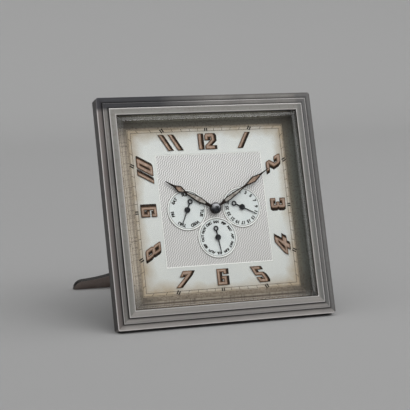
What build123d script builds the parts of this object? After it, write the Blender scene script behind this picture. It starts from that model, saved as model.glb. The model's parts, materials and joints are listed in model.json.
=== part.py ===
from build123d import *
import math
import os

# Square desk clock with a triple calendar, standing on its lower edge and an easel strut.
# Every piece is drawn in the dial's own frame: x to the right, y up the dial, z out of the
# dial towards the viewer, with the dial's face at z = 0 and its centre at x = y = 0.
# All lengths are millimetres, all angles degrees.

# Stance
lean_angle = 18.0
land_cut = 0.5
overrun = 5.0

# Stepped frame, three flat bands that rise towards the glass
outer_band = 2.9
middle_band = 2.7
inner_band = 3.2
middle_rise = 0.6
inner_rise = 0.9
lip_thickness = 1.2
frame_corner = 1.2
pocket_clearance = 0.1

# Glass and the wall that holds it off the dial
glass_edge = 1.4
glass_seat = 1.2
bevel_inset = 0.25
bevel_width = 2.2
bevel_rise = 1.5
hand_room = 4.6
retainer_lap = 2.2

# Dial, numerals and sub-dials
dial_thickness = 0.8
numeral_height = 7.9
numeral_margin = 5.25
numeral_thickness = 0.6
dial_border = 9.2
digit_width = 6.3
one_width = 3.1
digit_gap = 0.3
one_gap = 1.9
# How far each applied hour stands off its line from the centre, to the right and up
numeral_shifts = {
    2: (0.0, 1.1), 3: (0.0, 0.4), 4: (0.0, 0.4), 5: (0.8, 0.0), 6: (0.5, 0.0), 7: (0.4, 0.2),
    8: (0.2, 0.0), 9: (0.0, 0.8), 10: (0.2, 1.5), 11: (0.6, 0.0), 12: (0.2, 0.0),
}
subdial_offset = 14.0
subdial_radius = 9.15
subdial_thickness = 0.25
ring_width = 0.7
ring_height = 0.5
foot_radius = 1.5
foot_inset = 6.0
fit_gap = 0.05

# Hands
hand_thickness = 0.35
hand_lift = 1.0
hand_spacing = 0.9
hour_length = 27.6
minute_length = 34.3
hour_breadth = 3.4
minute_breadth = 3.1
hand_boss = 2.7
cap_radius = 2.5
hour_hand_angle = 301.0
minute_hand_angle = 58.4
pointer_length = 7.9
pointer_width = 0.55
pointer_boss = 1.4
pointer_tail = 4.4
tail_ring = 1.25
tail_hole = 0.65
pointer_lift = 0.6
pointer_thickness = 0.25
day_hand_angle = 205.0
date_hand_angle = 117.0
month_hand_angle = 172.5

# Case behind the frame
case_room = 4.67
case_wall = 1.2
case_depth = 23.0
case_corner = 3.0
flange_inset = 1.4
flange_thickness = 1.2
post_radius = 2.6
cover_thickness = 1.2
screw_radius = 0.9
screw_head = 1.7
screw_head_height = 0.9
screw_slot = 0.5
screw_length = 5.0

# Movement plates
barrel_overhang = 2.63
plate_thickness = 1.5
plate_gap = 10.5
dial_side_room = 4.5
pillar_radius = 2.2
pillar_inset = 4.0
pivot_radius = 0.45
pivot_gap = 0.04
arbor_radius = 0.6
end_shake = 0.1

# Teeth, as shares of the module and of the angle from one tooth to the next
addendum_share = 0.70
dedendum_share = 1.05
tooth_root_share = 0.58
tooth_tip_share = 0.24
pinion_overlap = 0.3

# Going train
barrel_teeth = 72
barrel_module = 0.42
barrel_height = 5.0
barrel_wall = 0.8
barrel_arbor_radius = 1.7
intermediate_pinion_teeth = 12
intermediate_teeth = 60
intermediate_module = 0.33
centre_pinion_teeth = 12
centre_teeth = 64
centre_module = 0.30
third_pinion_teeth = 8
third_teeth = 60
third_module = 0.26
fourth_pinion_teeth = 8
fourth_teeth = 80
fourth_module = 0.20
escape_pinion_teeth = 8
wheel_thickness = 0.9
level_gap = 0.5
centre_arbor = 0.8
intermediate_angle = 111.7
barrel_angle = 176.9
third_angle = -60.0
fourth_angle = -10.0
escape_angle = -100.0

# Escapement and balance
escape_teeth = 15
escape_radius = 4.0
escape_tooth_depth = 1.1
escape_thickness = 0.5
lever_reach = 5.8
lever_angle = 190.0
pallet_gap = 0.35
pallet_size = 0.8
pallet_spread_angle = 42.0
lever_width = 0.9
balance_reach = 6.0
roller_radius = 1.2
fork_gap = 0.3
balance_radius = 7.5
balance_rim = 1.0
balance_arm = 1.3
balance_thickness = 1.0
staff_hole = 1.1
hairspring_inner = 1.5
hairspring_outer = 4.6
hairspring_turns = 6
hairspring_width = 0.16
hairspring_height = 0.6
mainspring_turns = 8
mainspring_width = 0.35
cock_thickness = 1.1
cock_width = 5.0
cock_reach = 13.0
cock_angle = 215.0

# Winding
ratchet_teeth = 40
ratchet_radius = 8.0
ratchet_tooth_depth = 0.7
click_width = 1.1
click_length = 10.0
click_angle = 300.0
key_span = 11.0
key_height = 7.0
key_thickness = 1.8
key_hub = 3.0
key_stand = 0.6
key_hole = 2.2

# Motion work and calendar drive on the dial side of the front plate
cannon_teeth = 12
minute_teeth = 36
motion_module = 0.30
minute_pinion_teeth = 10
hour_teeth = 40
hour_pinion_teeth = 20
drive_teeth = 40
drive_module = 0.32
cannon_wall = 0.35
hour_pipe_wall = 0.5
motion_thickness = 0.8
motion_gap = 0.2
motion_angle = 45.0
day_drive_angle = 140.0
date_drive_angle = -40.0
stud_radius = 0.7
finger_radius = 0.4
finger_reach = 4.4
finger_bite = 0.8
finger_rest_angle = 150.0
day_star_teeth = 7
date_star_teeth = 31
month_star_teeth = 12
star_depth = 1.5
date_star_depth = 0.75
pipe_wall = 0.35
jumper_width = 0.5
jumper_post = 1.1
day_jumper_angle = 215.0
date_jumper_angle = 75.0
month_jumper_angle = 235.0
jumper_turn_angle = 62.0
jumper_reach = 12.0

# Setting knob and calendar correctors
setting_teeth = 36
setting_angle = 15.0
setting_arbor_radius = 1.0
knob_radius = 5.0
knob_height = 4.5
knob_ribs = 24
knob_rib_depth = 0.35
corrector_radius = 0.8
corrector_travel = 2.0
corrector_head = 2.0
corrector_head_height = 1.5
corrector_offset = 4.0
corrector_clear = 0.35
corrector_spring_wall = 0.45
collar_radius = 1.5
collar_height = 0.8

# Easel strut and its hinge
strut_open_angle = 50.5
hinge_height = 30.0
strut_thickness = 2.0
neck_half = 7.5
foot_half = 48.0
flare_start = 51.0
tip_height = 6.0
tip_round = 4.5
knuckle_radius = 1.9
knuckle_length = 6.0
knuckle_gap = 0.2
hinge_pin_radius = 0.9
leaf_thickness = 1.0
leaf_rise = 7.0
axis_stand = 2.4
stop_gap = 0.03
rivet_radius = 1.2

# Heights along z that follow from the values above
numeral_inner = subdial_offset + subdial_radius + ring_width + numeral_margin
opening_half = numeral_inner + numeral_height + dial_border
frame_half = opening_half + inner_band + middle_band + outer_band
glass_back = hand_room
glass_seat_z = glass_back + glass_edge
inner_face = glass_seat_z + lip_thickness
middle_face = inner_face - inner_rise
outer_face = middle_face - middle_rise
frame_back = -dial_thickness
pocket_half = opening_half + retainer_lap + pocket_clearance
cover_front = frame_back - case_depth
cover_back = cover_front - cover_thickness
front_plate_face = frame_back - dial_side_room
front_plate_back = front_plate_face - plate_thickness
back_plate_face = front_plate_back - plate_gap
back_plate_back = back_plate_face - plate_thickness
hinge_z = cover_back - leaf_thickness - axis_stand

# Levels of the wheels between the plates, counted back from the front plate
centre_high = front_plate_back - level_gap - end_shake
centre_low = centre_high - wheel_thickness
intermediate_high = centre_low - level_gap
intermediate_low = intermediate_high - wheel_thickness
barrel_high = intermediate_low - level_gap
barrel_low = barrel_high - barrel_height
fourth_high = intermediate_low - level_gap
fourth_low = fourth_high - wheel_thickness
escape_high = fourth_low - level_gap
escape_low = escape_high - escape_thickness

# Levels on the dial side, counted forward from the front plate
motion_low = front_plate_face + motion_gap
motion_high = motion_low + motion_thickness
hour_low = motion_high + motion_gap
hour_high = hour_low + motion_thickness
drive_low = hour_high + motion_gap
drive_high = drive_low + motion_thickness
star_low = drive_high + motion_gap
star_high = star_low + motion_thickness

hour_hand_low = hand_lift
minute_hand_low = hour_hand_low + hand_thickness + hand_spacing
cannon_bore = centre_arbor + fit_gap / 2
cannon_radius = cannon_bore + cannon_wall
hour_bore = cannon_radius + fit_gap
hour_pipe = hour_bore + hour_pipe_wall
star_bore = stud_radius + fit_gap
star_pipe = star_bore + pipe_wall

base = (Align.CENTER, Align.CENTER, Align.MIN)


def beside(at, distance, angle):
    """Point at a distance from another, in a direction counted from the x axis."""
    turn = math.radians(angle)
    return (at[0] + distance * math.cos(turn), at[1] + distance * math.sin(turn))


def direction(start, end):
    """Angle of the line from one point to another."""
    return math.degrees(math.atan2(end[1] - start[1], end[0] - start[0]))


def gear_distance(module, teeth, other_teeth):
    """Distance between the centres of two wheels in mesh."""
    return module * (teeth + other_teeth) / 2


# Places of the arbors and studs, each found from the wheel that it meshes with
centre_at = (0, 0)
intermediate_at = beside(
    centre_at,
    gear_distance(intermediate_module, intermediate_teeth, centre_pinion_teeth),
    intermediate_angle,
)
barrel_at = beside(
    intermediate_at,
    gear_distance(barrel_module, barrel_teeth, intermediate_pinion_teeth),
    barrel_angle,
)
third_at = beside(
    centre_at, gear_distance(centre_module, centre_teeth, third_pinion_teeth), third_angle
)
fourth_at = beside(
    third_at, gear_distance(third_module, third_teeth, fourth_pinion_teeth), fourth_angle
)
escape_at = beside(
    fourth_at, gear_distance(fourth_module, fourth_teeth, escape_pinion_teeth), escape_angle
)
lever_at = beside(escape_at, lever_reach, lever_angle)
balance_at = beside(lever_at, balance_reach, lever_angle)
motion_distance = gear_distance(motion_module, cannon_teeth, minute_teeth)
hour_module = motion_distance * 2 / (minute_pinion_teeth + hour_teeth)
minute_wheel_at = beside(centre_at, motion_distance, motion_angle)
setting_at = beside(
    minute_wheel_at, gear_distance(motion_module, minute_teeth, setting_teeth), setting_angle
)
drive_distance = gear_distance(drive_module, hour_pinion_teeth, drive_teeth)
day_drive_at = beside(centre_at, drive_distance, day_drive_angle)
date_drive_at = beside(centre_at, drive_distance, date_drive_angle)
day_at = (-subdial_offset, 0)
date_at = (subdial_offset, 0)
month_at = (0, -subdial_offset)
star_radius = math.dist(day_drive_at, day_at) - finger_reach + finger_bite
calendar = {"day": day_at, "date": date_at, "month": month_at}
barrel_pitch = barrel_module * barrel_teeth / 2
barrel_reach = barrel_pitch - barrel_at[0]
plate_half = barrel_reach - barrel_overhang
case_half = barrel_reach + case_room + case_wall


def disc(radius, low, high, at=(0, 0)):
    """Upright cylinder between two heights."""
    return Pos(at[0], at[1], low) * Cylinder(radius, high - low, align=base)


def tube(outer, inner, low, high, at=(0, 0)):
    """Upright cylinder with a bore right through it."""
    bore = disc(inner, low - overrun, high + overrun, at)
    return disc(outer, low, high, at) - bore


def square_block(half, low, high):
    """Square slab centred on the dial."""
    return Pos(0, 0, low) * Box(2 * half, 2 * half, high - low, align=base)


def bar(start, end, width, low, high):
    """Flat bar with square ends between two points."""
    middle = ((start[0] + end[0]) / 2, (start[1] + end[1]) / 2)
    turn = Rot(0, 0, direction(start, end))
    return Pos(*middle, low) * turn * Box(math.dist(start, end), width, high - low, align=base)


def prism(corners, low, high):
    """Outline of straight sides, raised from one height to another."""
    face = make_face(Polyline(*corners, close=True))
    return Pos(0, 0, low) * extrude(face, high - low, dir=(0, 0, 1))


def four_corners(inset_half):
    """The four corners of a square centred on the dial."""
    return [(x * inset_half, y * inset_half) for x in (-1, 1) for y in (-1, 1)]


def cross_cylinder(radius, length, at, axis):
    """Cylinder lying along x or y, starting at a point and running for a length."""
    turn = Rot(0, 90, 0) if axis == "x" else Rot(-90, 0, 0)
    return Pos(*at) * turn * Cylinder(radius, length, align=base)


def meshed_phase(at, teeth, phase, other_at, other_teeth):
    """Direction of the other wheel's first tooth, so that a gap of it faces a tooth of this one."""
    line = direction(at, other_at)
    part_tooth = ((line - phase) * teeth / 360) % 1
    return line + 180 + (part_tooth + 1 / 2) * 360 / other_teeth


def toothed(teeth, module, low, high, at, phase):
    """Wheel with straight-flanked teeth, its first tooth pointing along phase."""
    pitch_radius = module * teeth / 2
    tip = pitch_radius + module * addendum_share
    root = pitch_radius - module * dedendum_share
    flank = ((root, -tooth_root_share), (tip, -tooth_tip_share), (tip, tooth_tip_share), (root, tooth_root_share))
    corners = [
        beside(at, radius, phase + (tooth + share / 2) * 360 / teeth)
        for tooth in range(teeth)
        for radius, share in flank
    ]
    return prism(corners, low, high)


def star(teeth, tip, depth, low, high, at, phase):
    """Star wheel: points and valleys by turns, with a valley along phase."""
    corners = [
        beside(at, tip - depth * ((half + 1) % 2), phase + half * 180 / teeth)
        for half in range(2 * teeth)
    ]
    return prism(corners, low, high)


def spiral_band(inner, outer, turns, width, low, high, at):
    """Flat spring wound in a spiral, its two edges stepped every thirtieth of a turn."""
    steps = turns * 30
    inside = []
    outside = []
    for step in range(steps + 1):
        radius = inner + (outer - inner - width) * step / steps
        angle = step * 360 * turns / steps
        inside.append(beside(at, radius, angle))
        outside.append(beside(at, radius + width, angle))
    return prism(inside + outside[::-1], low, high)


def train_arbor(at, radius=arbor_radius):
    """Arbor between the plates, with a thinner pivot in each plate."""
    shaft = disc(radius, back_plate_face + end_shake, front_plate_back - end_shake, at)
    return shaft + disc(pivot_radius, back_plate_back, front_plate_face, at)


def screw(at, seat):
    """Slotted screw whose head sits on a seat and whose shank runs forward from it."""
    head = disc(screw_head, seat - screw_head_height, seat, at)
    slot_box = Box(2 * screw_head + overrun, screw_slot, screw_slot, align=base)
    slot = Pos(at[0], at[1], seat - screw_head_height) * slot_box
    return head + disc(screw_radius, seat, seat + screw_length, at) - slot


def screw_hole(at, low, high):
    """Hole that a screw's shank passes through."""
    return disc(screw_radius + fit_gap, low, high, at)


frame_screws_at = four_corners((pocket_half + frame_half) / 2 - flange_inset / 2)
cover_screws_at = four_corners(case_half - case_wall - post_radius + case_wall / 2)
pillars_at = four_corners(plate_half - pillar_inset)
dial_feet_at = [
    (x * (plate_half - foot_inset), y * (plate_half - pillar_inset))
    for x in (-1 / 2, 1 / 2)
    for y in (-1, 1)
]


def make_bezel_frame():
    """Stepped silver frame, open in the middle, with a pocket behind its inner band."""
    outer = square_block(frame_half, frame_back, outer_face)
    outer = fillet(outer.edges().filter_by(Axis.Z), frame_corner)
    middle = square_block(frame_half - outer_band, outer_face, middle_face)
    inner = square_block(frame_half - outer_band - middle_band, middle_face, inner_face)
    opening = square_block(opening_half, frame_back - overrun, inner_face + overrun)
    pocket = square_block(pocket_half, frame_back - overrun, glass_seat_z)
    frame = outer + middle + inner - opening - pocket
    for at in frame_screws_at:
        frame -= screw_hole(at, frame_back - overrun, frame_back + screw_length)
    return frame


def make_glass():
    """Thick bevelled glass: a plain rim behind the frame's lip and a raised middle."""
    rim = square_block(opening_half + glass_seat, glass_back, glass_seat_z)
    low_half = opening_half - bevel_inset
    foot = Pos(0, 0, glass_seat_z) * Rectangle(2 * low_half, 2 * low_half)
    top_half = low_half - bevel_width
    top = Pos(0, 0, glass_seat_z + bevel_rise) * Rectangle(2 * top_half, 2 * top_half)
    return rim + loft([foot, top], ruled=True)


def make_glass_retainer():
    """Square wall that stands on the dial's edge and presses the glass to the lip."""
    wall = square_block(opening_half + retainer_lap, 0, glass_back)
    return wall - square_block(opening_half, -overrun, glass_back + overrun)


def make_dial_plate():
    """Dial plate with its holes for the hands and four feet that carry the movement."""
    dial = square_block(opening_half + retainer_lap, frame_back, 0)
    for at in dial_feet_at:
        dial += disc(foot_radius, front_plate_back, frame_back, at)
    dial -= disc(hour_pipe + 2 * fit_gap, frame_back - overrun, overrun)
    for at in calendar.values():
        dial -= disc(star_pipe + 2 * fit_gap, frame_back - overrun, overrun, at)
    return dial


# Shapes of the digits, in shares of the digit's width and height, and their holes
digit_shares = {
    "0": [(0.1, 0), (0.9, 0), (1, 0.08), (1, 0.92), (0.9, 1), (0.1, 1), (0, 0.92), (0, 0.08)],
    "1": [(0, 0), (1, 0), (1, 1), (0, 1)],
    "2": [(0, 0), (1, 0), (1, 0.24), (0.5, 0.24), (1, 0.52), (1, 0.86), (0.86, 1), (0.14, 1),
          (0, 0.86), (0, 0.56), (0.36, 0.56), (0.36, 0.74), (0.64, 0.74), (0.64, 0.6), (0, 0.24)],
    "3": [(0, 0), (0.86, 0), (1, 0.12), (1, 0.42), (0.9, 0.5), (1, 0.58), (1, 0.88), (0.86, 1),
          (0, 1), (0, 0.64), (0.32, 0.64), (0.32, 0.76), (0.64, 0.76), (0.64, 0.61), (0.36, 0.61),
          (0.36, 0.39), (0.64, 0.39), (0.64, 0.24), (0.32, 0.24), (0.32, 0.36), (0, 0.36)],
    "4": [(0.57, 0), (0.9, 0), (0.9, 0.2), (1, 0.2), (1, 0.4), (0.9, 0.4), (0.9, 1),
          (0.5, 1), (0, 0.42), (0, 0.2), (0.57, 0.2)],
    "5": [(0, 0), (0.84, 0), (1, 0.16), (1, 0.5), (0.84, 0.64), (0.36, 0.64), (0.36, 0.78),
          (0.95, 0.78), (0.95, 1), (0, 1), (0, 0.43), (0.64, 0.43), (0.64, 0.22), (0.34, 0.22),
          (0.34, 0.33), (0, 0.33)],
    "6": [(0, 0), (1, 0), (1, 0.56), (0.44, 0.56), (0.44, 0.36), (0.66, 0.36), (0.66, 0.22),
          (0.34, 0.22), (0.34, 0.78), (0.66, 0.78), (0.66, 0.66), (1, 0.66), (1, 1), (0, 1)],
    "7": [(0.12, 0), (0.5, 0), (1, 0.78), (1, 1), (0, 1), (0, 0.62), (0.3, 0.62), (0.3, 0.76),
          (0.6, 0.76)],
    "8": [(0.08, 0), (0.92, 0), (1, 0.08), (1, 0.42), (0.88, 0.52), (0.96, 0.6), (0.96, 0.92),
          (0.88, 1), (0.12, 1), (0.04, 0.92), (0.04, 0.6), (0.12, 0.52), (0, 0.42), (0, 0.08)],
}
digit_shares["9"] = [(1 - across, 1 - up) for across, up in digit_shares["6"]]
digit_hole_shares = {
    "0": [[(0.4, 0.18), (0.6, 0.18), (0.6, 0.82), (0.4, 0.82)]],
    "4": [[(0.29, 0.4), (0.57, 0.4), (0.57, 0.68), (0.47, 0.68)]],
    "8": [[(0.36, 0.2), (0.64, 0.2), (0.64, 0.4), (0.36, 0.4)],
          [(0.38, 0.64), (0.62, 0.64), (0.62, 0.82), (0.38, 0.82)]],
}


def numeral_point(hour, across, up):
    """Place on the square ring of hours: upright strokes follow the line from the centre.

    The hours from nine to three stand on the side that faces the centre, and the others
    on the side that faces the frame, so that all of them read from below.
    """
    side = round(hour / 3) % 4
    slant = math.tan(math.radians(30 * hour - 90 * round(hour / 3)))
    outward = ((0, 1), (1, 0), (0, -1), (-1, 0))[side]
    along = (outward[1], -outward[0])
    turned = hour in (4, 5, 6, 7, 8)
    out = numeral_inner + (numeral_height - up if turned else up)
    shift = out * slant + (-across if turned else across)
    right, rise = numeral_shifts.get(hour, (0.0, 0.0))
    return (
        outward[0] * out + along[0] * shift + right,
        outward[1] * out + along[1] * shift + rise,
    )


def make_numeral(hour):
    """The solids of one hour's digits, set side by side about the line from the centre."""
    digits = str(hour)
    widths = [one_width if digit == "1" else digit_width for digit in digits]
    gap = one_gap if digits == "11" else digit_gap
    left = -(sum(widths) + gap * (len(digits) - 1)) / 2
    solids = []
    for digit, width in zip(digits, widths):
        outlines = [digit_shares[digit]] + digit_hole_shares.get(digit, [])
        placed = [
            [numeral_point(hour, left + x * width, y * numeral_height) for x, y in outline]
            for outline in outlines
        ]
        solid = prism(placed[0], 0, numeral_thickness)
        for hole in placed[1:]:
            solid -= prism(hole, -overrun, overrun)
        solids.append(solid)
        left += width + gap
    return solids


def make_hour_numerals():
    """Twelve applied copper numerals."""
    return [solid for hour in range(1, 13) for solid in make_numeral(hour)]


def make_subdial_discs():
    """Three white discs laid on the dial, each with a hole for its hand's pipe."""
    return [
        tube(subdial_radius - fit_gap, star_pipe + 2 * fit_gap, 0, subdial_thickness, at)
        for at in calendar.values()
    ]


def make_subdial_rings():
    """Three polished rings round the white discs, with their outer edge chamfered."""
    rings = []
    for at in calendar.values():
        ring = tube(subdial_radius + ring_width, subdial_radius, 0, ring_height, at)
        rings.append(chamfer(ring.edges().group_by(Axis.Z)[-1], ring_width / 3))
    return rings


def make_case_body():
    """Case box with a flange that lies on the frame's back and posts for the cover's screws."""
    walls = square_block(case_half, cover_front, frame_back)
    walls = fillet(walls.edges().filter_by(Axis.Z), case_corner)
    flange = square_block(frame_half - flange_inset, frame_back - flange_thickness, frame_back)
    case = walls + flange
    case -= square_block(case_half - case_wall, cover_front - overrun, frame_back + overrun)
    for at in cover_screws_at:
        post = disc(post_radius, cover_front, frame_back - flange_thickness, at)
        case += post & square_block(case_half - case_wall / 2, cover_front, frame_back)
        case -= screw_hole(at, cover_front - overrun, cover_front + screw_length)
    for at in frame_screws_at:
        case -= screw_hole(at, frame_back - flange_thickness - overrun, frame_back + overrun)
    for wall_at, axis in corrector_walls():
        case -= cross_cylinder(corrector_radius + fit_gap, 2 * overrun, wall_at, axis)
    return case


def make_back_cover():
    """Flat back cover with holes for its screws, the winding arbor and the setting arbor."""
    cover = square_block(case_half, cover_back, cover_front)
    cover = fillet(cover.edges().filter_by(Axis.Z), case_corner)
    for at in cover_screws_at:
        cover -= screw_hole(at, cover_back - overrun, cover_front + overrun)
    cover -= disc(barrel_arbor_radius + fit_gap, cover_back - overrun, cover_front + overrun, barrel_at)
    cover -= disc(setting_arbor_radius + fit_gap, cover_back - overrun, cover_front + overrun, setting_at)
    for at in leaf_rivets_at():
        cover -= disc(rivet_radius + fit_gap / 2, cover_back - overrun, cover_front + overrun, at)
    return cover


def make_cover_screws():
    """Four screws that hold the back cover to the posts of the case."""
    return [screw(at, cover_back) for at in cover_screws_at]


def make_frame_screws():
    """Four screws that hold the case's flange to the frame."""
    return [screw(at, frame_back - flange_thickness) for at in frame_screws_at]


def make_front_plate():
    """Front plate of the movement, bored for pivots, studs, dial feet and pillar screws."""
    low = front_plate_back - overrun
    high = front_plate_face + overrun
    plate = square_block(plate_half, front_plate_back, front_plate_face)
    for at in (intermediate_at, third_at, fourth_at, escape_at, lever_at, balance_at):
        plate -= disc(pivot_radius + pivot_gap, low, high, at)
    plate -= disc(centre_arbor + pivot_gap, low, high, centre_at)
    plate -= disc(barrel_arbor_radius + pivot_gap, low, high, barrel_at)
    plate -= disc(setting_arbor_radius + pivot_gap, low, high, setting_at)
    for at in studs_at():
        plate -= disc(stud_radius + fit_gap / 2, low, high, at)
    for at in dial_feet_at:
        plate -= disc(foot_radius + fit_gap, low, high, at)
    return plate


def make_back_plate():
    """Back plate of the movement, bored for pivots and for the screws into the pillars."""
    low = back_plate_back - overrun
    high = back_plate_face + overrun
    plate = square_block(plate_half, back_plate_back, back_plate_face)
    for at in (centre_at, intermediate_at, third_at, fourth_at, escape_at, lever_at):
        plate -= disc(pivot_radius + pivot_gap, low, high, at)
    plate -= disc(staff_hole, low, high, balance_at)
    plate -= disc(barrel_arbor_radius + pivot_gap, low, high, barrel_at)
    plate -= disc(setting_arbor_radius + pivot_gap, low, high, setting_at)
    for at in pillars_at:
        plate -= screw_hole(at, low, high)
    return plate


def make_pillars():
    """Four pillars between the plates, tapped from behind."""
    pillars = []
    for at in pillars_at:
        pillar = disc(pillar_radius, back_plate_face, front_plate_back, at)
        pillars.append(pillar - screw_hole(at, back_plate_face, back_plate_back + screw_length))
    return pillars


def make_plate_screws():
    """Four screws that hold the back plate to the pillars."""
    return [screw(at, back_plate_back) for at in pillars_at]


# First tooth of every wheel, each in mesh with the wheel before it
centre_pinion_phase = 0.0
centre_phase = 0.0
intermediate_phase = meshed_phase(
    centre_at, centre_pinion_teeth, centre_pinion_phase, intermediate_at, intermediate_teeth
)
barrel_phase = meshed_phase(intermediate_at, intermediate_pinion_teeth, 0, barrel_at, barrel_teeth)
third_pinion_phase = meshed_phase(centre_at, centre_teeth, centre_phase, third_at, third_pinion_teeth)
fourth_pinion_phase = meshed_phase(third_at, third_teeth, 0, fourth_at, fourth_pinion_teeth)
escape_pinion_phase = meshed_phase(fourth_at, fourth_teeth, 0, escape_at, escape_pinion_teeth)
minute_phase = meshed_phase(centre_at, cannon_teeth, 0, minute_wheel_at, minute_teeth)
hour_phase = meshed_phase(minute_wheel_at, minute_pinion_teeth, 0, centre_at, hour_teeth)
setting_phase = meshed_phase(minute_wheel_at, minute_teeth, minute_phase, setting_at, setting_teeth)
drive_phases = {
    at: meshed_phase(centre_at, hour_pinion_teeth, 0, at, drive_teeth)
    for at in (day_drive_at, date_drive_at)
}

barrel_outer = barrel_pitch - barrel_module * dedendum_share
barrel_inner = barrel_outer - barrel_wall


def make_barrel():
    """Spring barrel: a toothed drum with both ends closed, free on its arbor."""
    drum = disc(barrel_outer, barrel_low, barrel_high, barrel_at)
    teeth = toothed(
        barrel_teeth, barrel_module, barrel_high - wheel_thickness, barrel_high, barrel_at, barrel_phase
    )
    drum = drum + teeth
    drum -= disc(barrel_inner, barrel_low + barrel_wall, barrel_high - wheel_thickness, barrel_at)
    bore = barrel_arbor_radius + fit_gap
    return drum - disc(bore, barrel_low - overrun, barrel_high + overrun, barrel_at)


def make_mainspring():
    """Mainspring, wound from the arbor out to the wall of the barrel."""
    low = barrel_low + barrel_wall + fit_gap
    high = barrel_high - wheel_thickness - fit_gap
    inner = barrel_arbor_radius + mainspring_width
    return spiral_band(
        inner, barrel_inner - fit_gap, mainspring_turns, mainspring_width, low, high, barrel_at
    )


def make_barrel_arbor():
    """Winding arbor, from the front plate through the barrel and the cover into the key."""
    tail = cover_back - key_stand - key_height / 2
    return disc(barrel_arbor_radius, tail, front_plate_face, barrel_at)


ratchet_high = back_plate_back - level_gap
ratchet_low = ratchet_high - wheel_thickness


def make_ratchet_wheel():
    """Ratchet wheel on the winding arbor, its steep sides all facing one way."""
    corners = []
    for tooth in range(ratchet_teeth):
        angle = click_angle + tooth * 360 / ratchet_teeth
        corners.append(beside(barrel_at, ratchet_radius - ratchet_tooth_depth, angle))
        corners.append(beside(barrel_at, ratchet_radius, angle + 360 / ratchet_teeth))
    wheel = prism(corners, ratchet_low, ratchet_high)
    return wheel - disc(barrel_arbor_radius + pivot_gap / 2, ratchet_low - overrun, overrun, barrel_at)


def make_click():
    """Spring click: a foot on the back plate and an arm whose beak rests in the ratchet."""
    beak = beside(barrel_at, ratchet_radius + click_width, click_angle)
    foot = beside(beak, click_length, click_angle + 90)
    arm = bar(beak, foot, click_width, ratchet_low, ratchet_high)
    point = beside(barrel_at, ratchet_radius - ratchet_tooth_depth / 2, click_angle + ratchet_tooth_depth)
    side = beside(beak, click_width, click_angle + 90)
    arm += prism([beak, point, side], ratchet_low, ratchet_high)
    return arm + disc(click_width, ratchet_low, back_plate_back, foot)


def make_intermediate_wheel():
    """Intermediate wheel, its pinion in the barrel's teeth and its wheel on the centre pinion."""
    wheel = toothed(
        intermediate_teeth, intermediate_module, intermediate_low, intermediate_high,
        intermediate_at, intermediate_phase,
    )
    pinion = toothed(
        intermediate_pinion_teeth, barrel_module, barrel_high - wheel_thickness - pinion_overlap,
        intermediate_low, intermediate_at, 0,
    )
    return wheel + pinion + train_arbor(intermediate_at)


def make_centre_wheel():
    """Centre wheel on the arbor that carries the hands, turning once an hour."""
    wheel = toothed(centre_teeth, centre_module, centre_low, centre_high, centre_at, centre_phase)
    pinion = toothed(
        centre_pinion_teeth, intermediate_module, intermediate_low - pinion_overlap, centre_low,
        centre_at, centre_pinion_phase,
    )
    shaft = disc(centre_arbor, back_plate_face + end_shake, minute_hand_low + hand_thickness)
    return wheel + pinion + shaft + disc(pivot_radius, back_plate_back, back_plate_face + end_shake)


def make_third_wheel():
    """Third wheel, driven by the centre wheel."""
    pinion = toothed(
        third_pinion_teeth, centre_module, centre_low - pinion_overlap, centre_high + pinion_overlap,
        third_at, third_pinion_phase,
    )
    wheel = toothed(third_teeth, third_module, intermediate_low, intermediate_high, third_at, 0)
    return pinion + wheel + train_arbor(third_at)


def make_fourth_wheel():
    """Fourth wheel, turning once a minute."""
    pinion = toothed(
        fourth_pinion_teeth, third_module, intermediate_low - pinion_overlap,
        intermediate_high + pinion_overlap, fourth_at, fourth_pinion_phase,
    )
    wheel = toothed(fourth_teeth, fourth_module, fourth_low, fourth_high, fourth_at, 0)
    return pinion + wheel + train_arbor(fourth_at)


def make_escape_wheel():
    """Escape wheel with raked teeth, and its pinion."""
    corners = []
    for tooth in range(escape_teeth):
        angle = tooth * 360 / escape_teeth
        corners.append(beside(escape_at, escape_radius - escape_tooth_depth, angle))
        corners.append(beside(escape_at, escape_radius, angle + 180 / escape_teeth))
    wheel = prism(corners, escape_low, escape_high)
    pinion = toothed(
        escape_pinion_teeth, fourth_module, fourth_low - pinion_overlap, fourth_high + pinion_overlap,
        escape_at, escape_pinion_phase,
    )
    return wheel + pinion + train_arbor(escape_at, pivot_radius)


def make_pallet_lever():
    """Lever with two pallets that stand just clear of the escape wheel, and a forked tail."""
    lever = train_arbor(lever_at)
    reach = escape_radius + pallet_gap + pallet_size / 2
    for side in (-1, 1):
        pallet = beside(escape_at, reach, lever_angle + side * pallet_spread_angle)
        lever += bar(lever_at, pallet, lever_width, escape_low, escape_high)
        block = Pos(*pallet, escape_low) * Rot(0, 0, direction(escape_at, pallet))
        lever += block * Box(pallet_size, pallet_size, escape_thickness, align=base)
    fork = beside(balance_at, roller_radius + fork_gap, lever_angle + 180)
    return lever + bar(lever_at, fork, lever_width, escape_low, escape_high)


balance_high = back_plate_back - level_gap
balance_low = balance_high - balance_thickness
hairspring_high = balance_low - level_gap
hairspring_low = hairspring_high - hairspring_height
cock_high = hairspring_low - level_gap
cock_low = cock_high - cock_thickness


def make_balance_wheel():
    """Balance: rim, cross arm and staff, with the roller that faces the lever."""
    rim = tube(balance_radius, balance_radius - balance_rim, balance_low, balance_high, balance_at)
    reach = balance_radius - balance_rim / 2
    arm = bar(
        beside(balance_at, reach, cock_angle + 90), beside(balance_at, reach, cock_angle - 90),
        balance_arm, balance_low, balance_high,
    )
    staff = disc(arbor_radius, cock_high + end_shake, front_plate_back - end_shake, balance_at)
    pivots = disc(pivot_radius, cock_low, front_plate_face, balance_at)
    roller = disc(roller_radius, escape_low, escape_high, balance_at)
    return rim + arm + staff + pivots + roller


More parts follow.
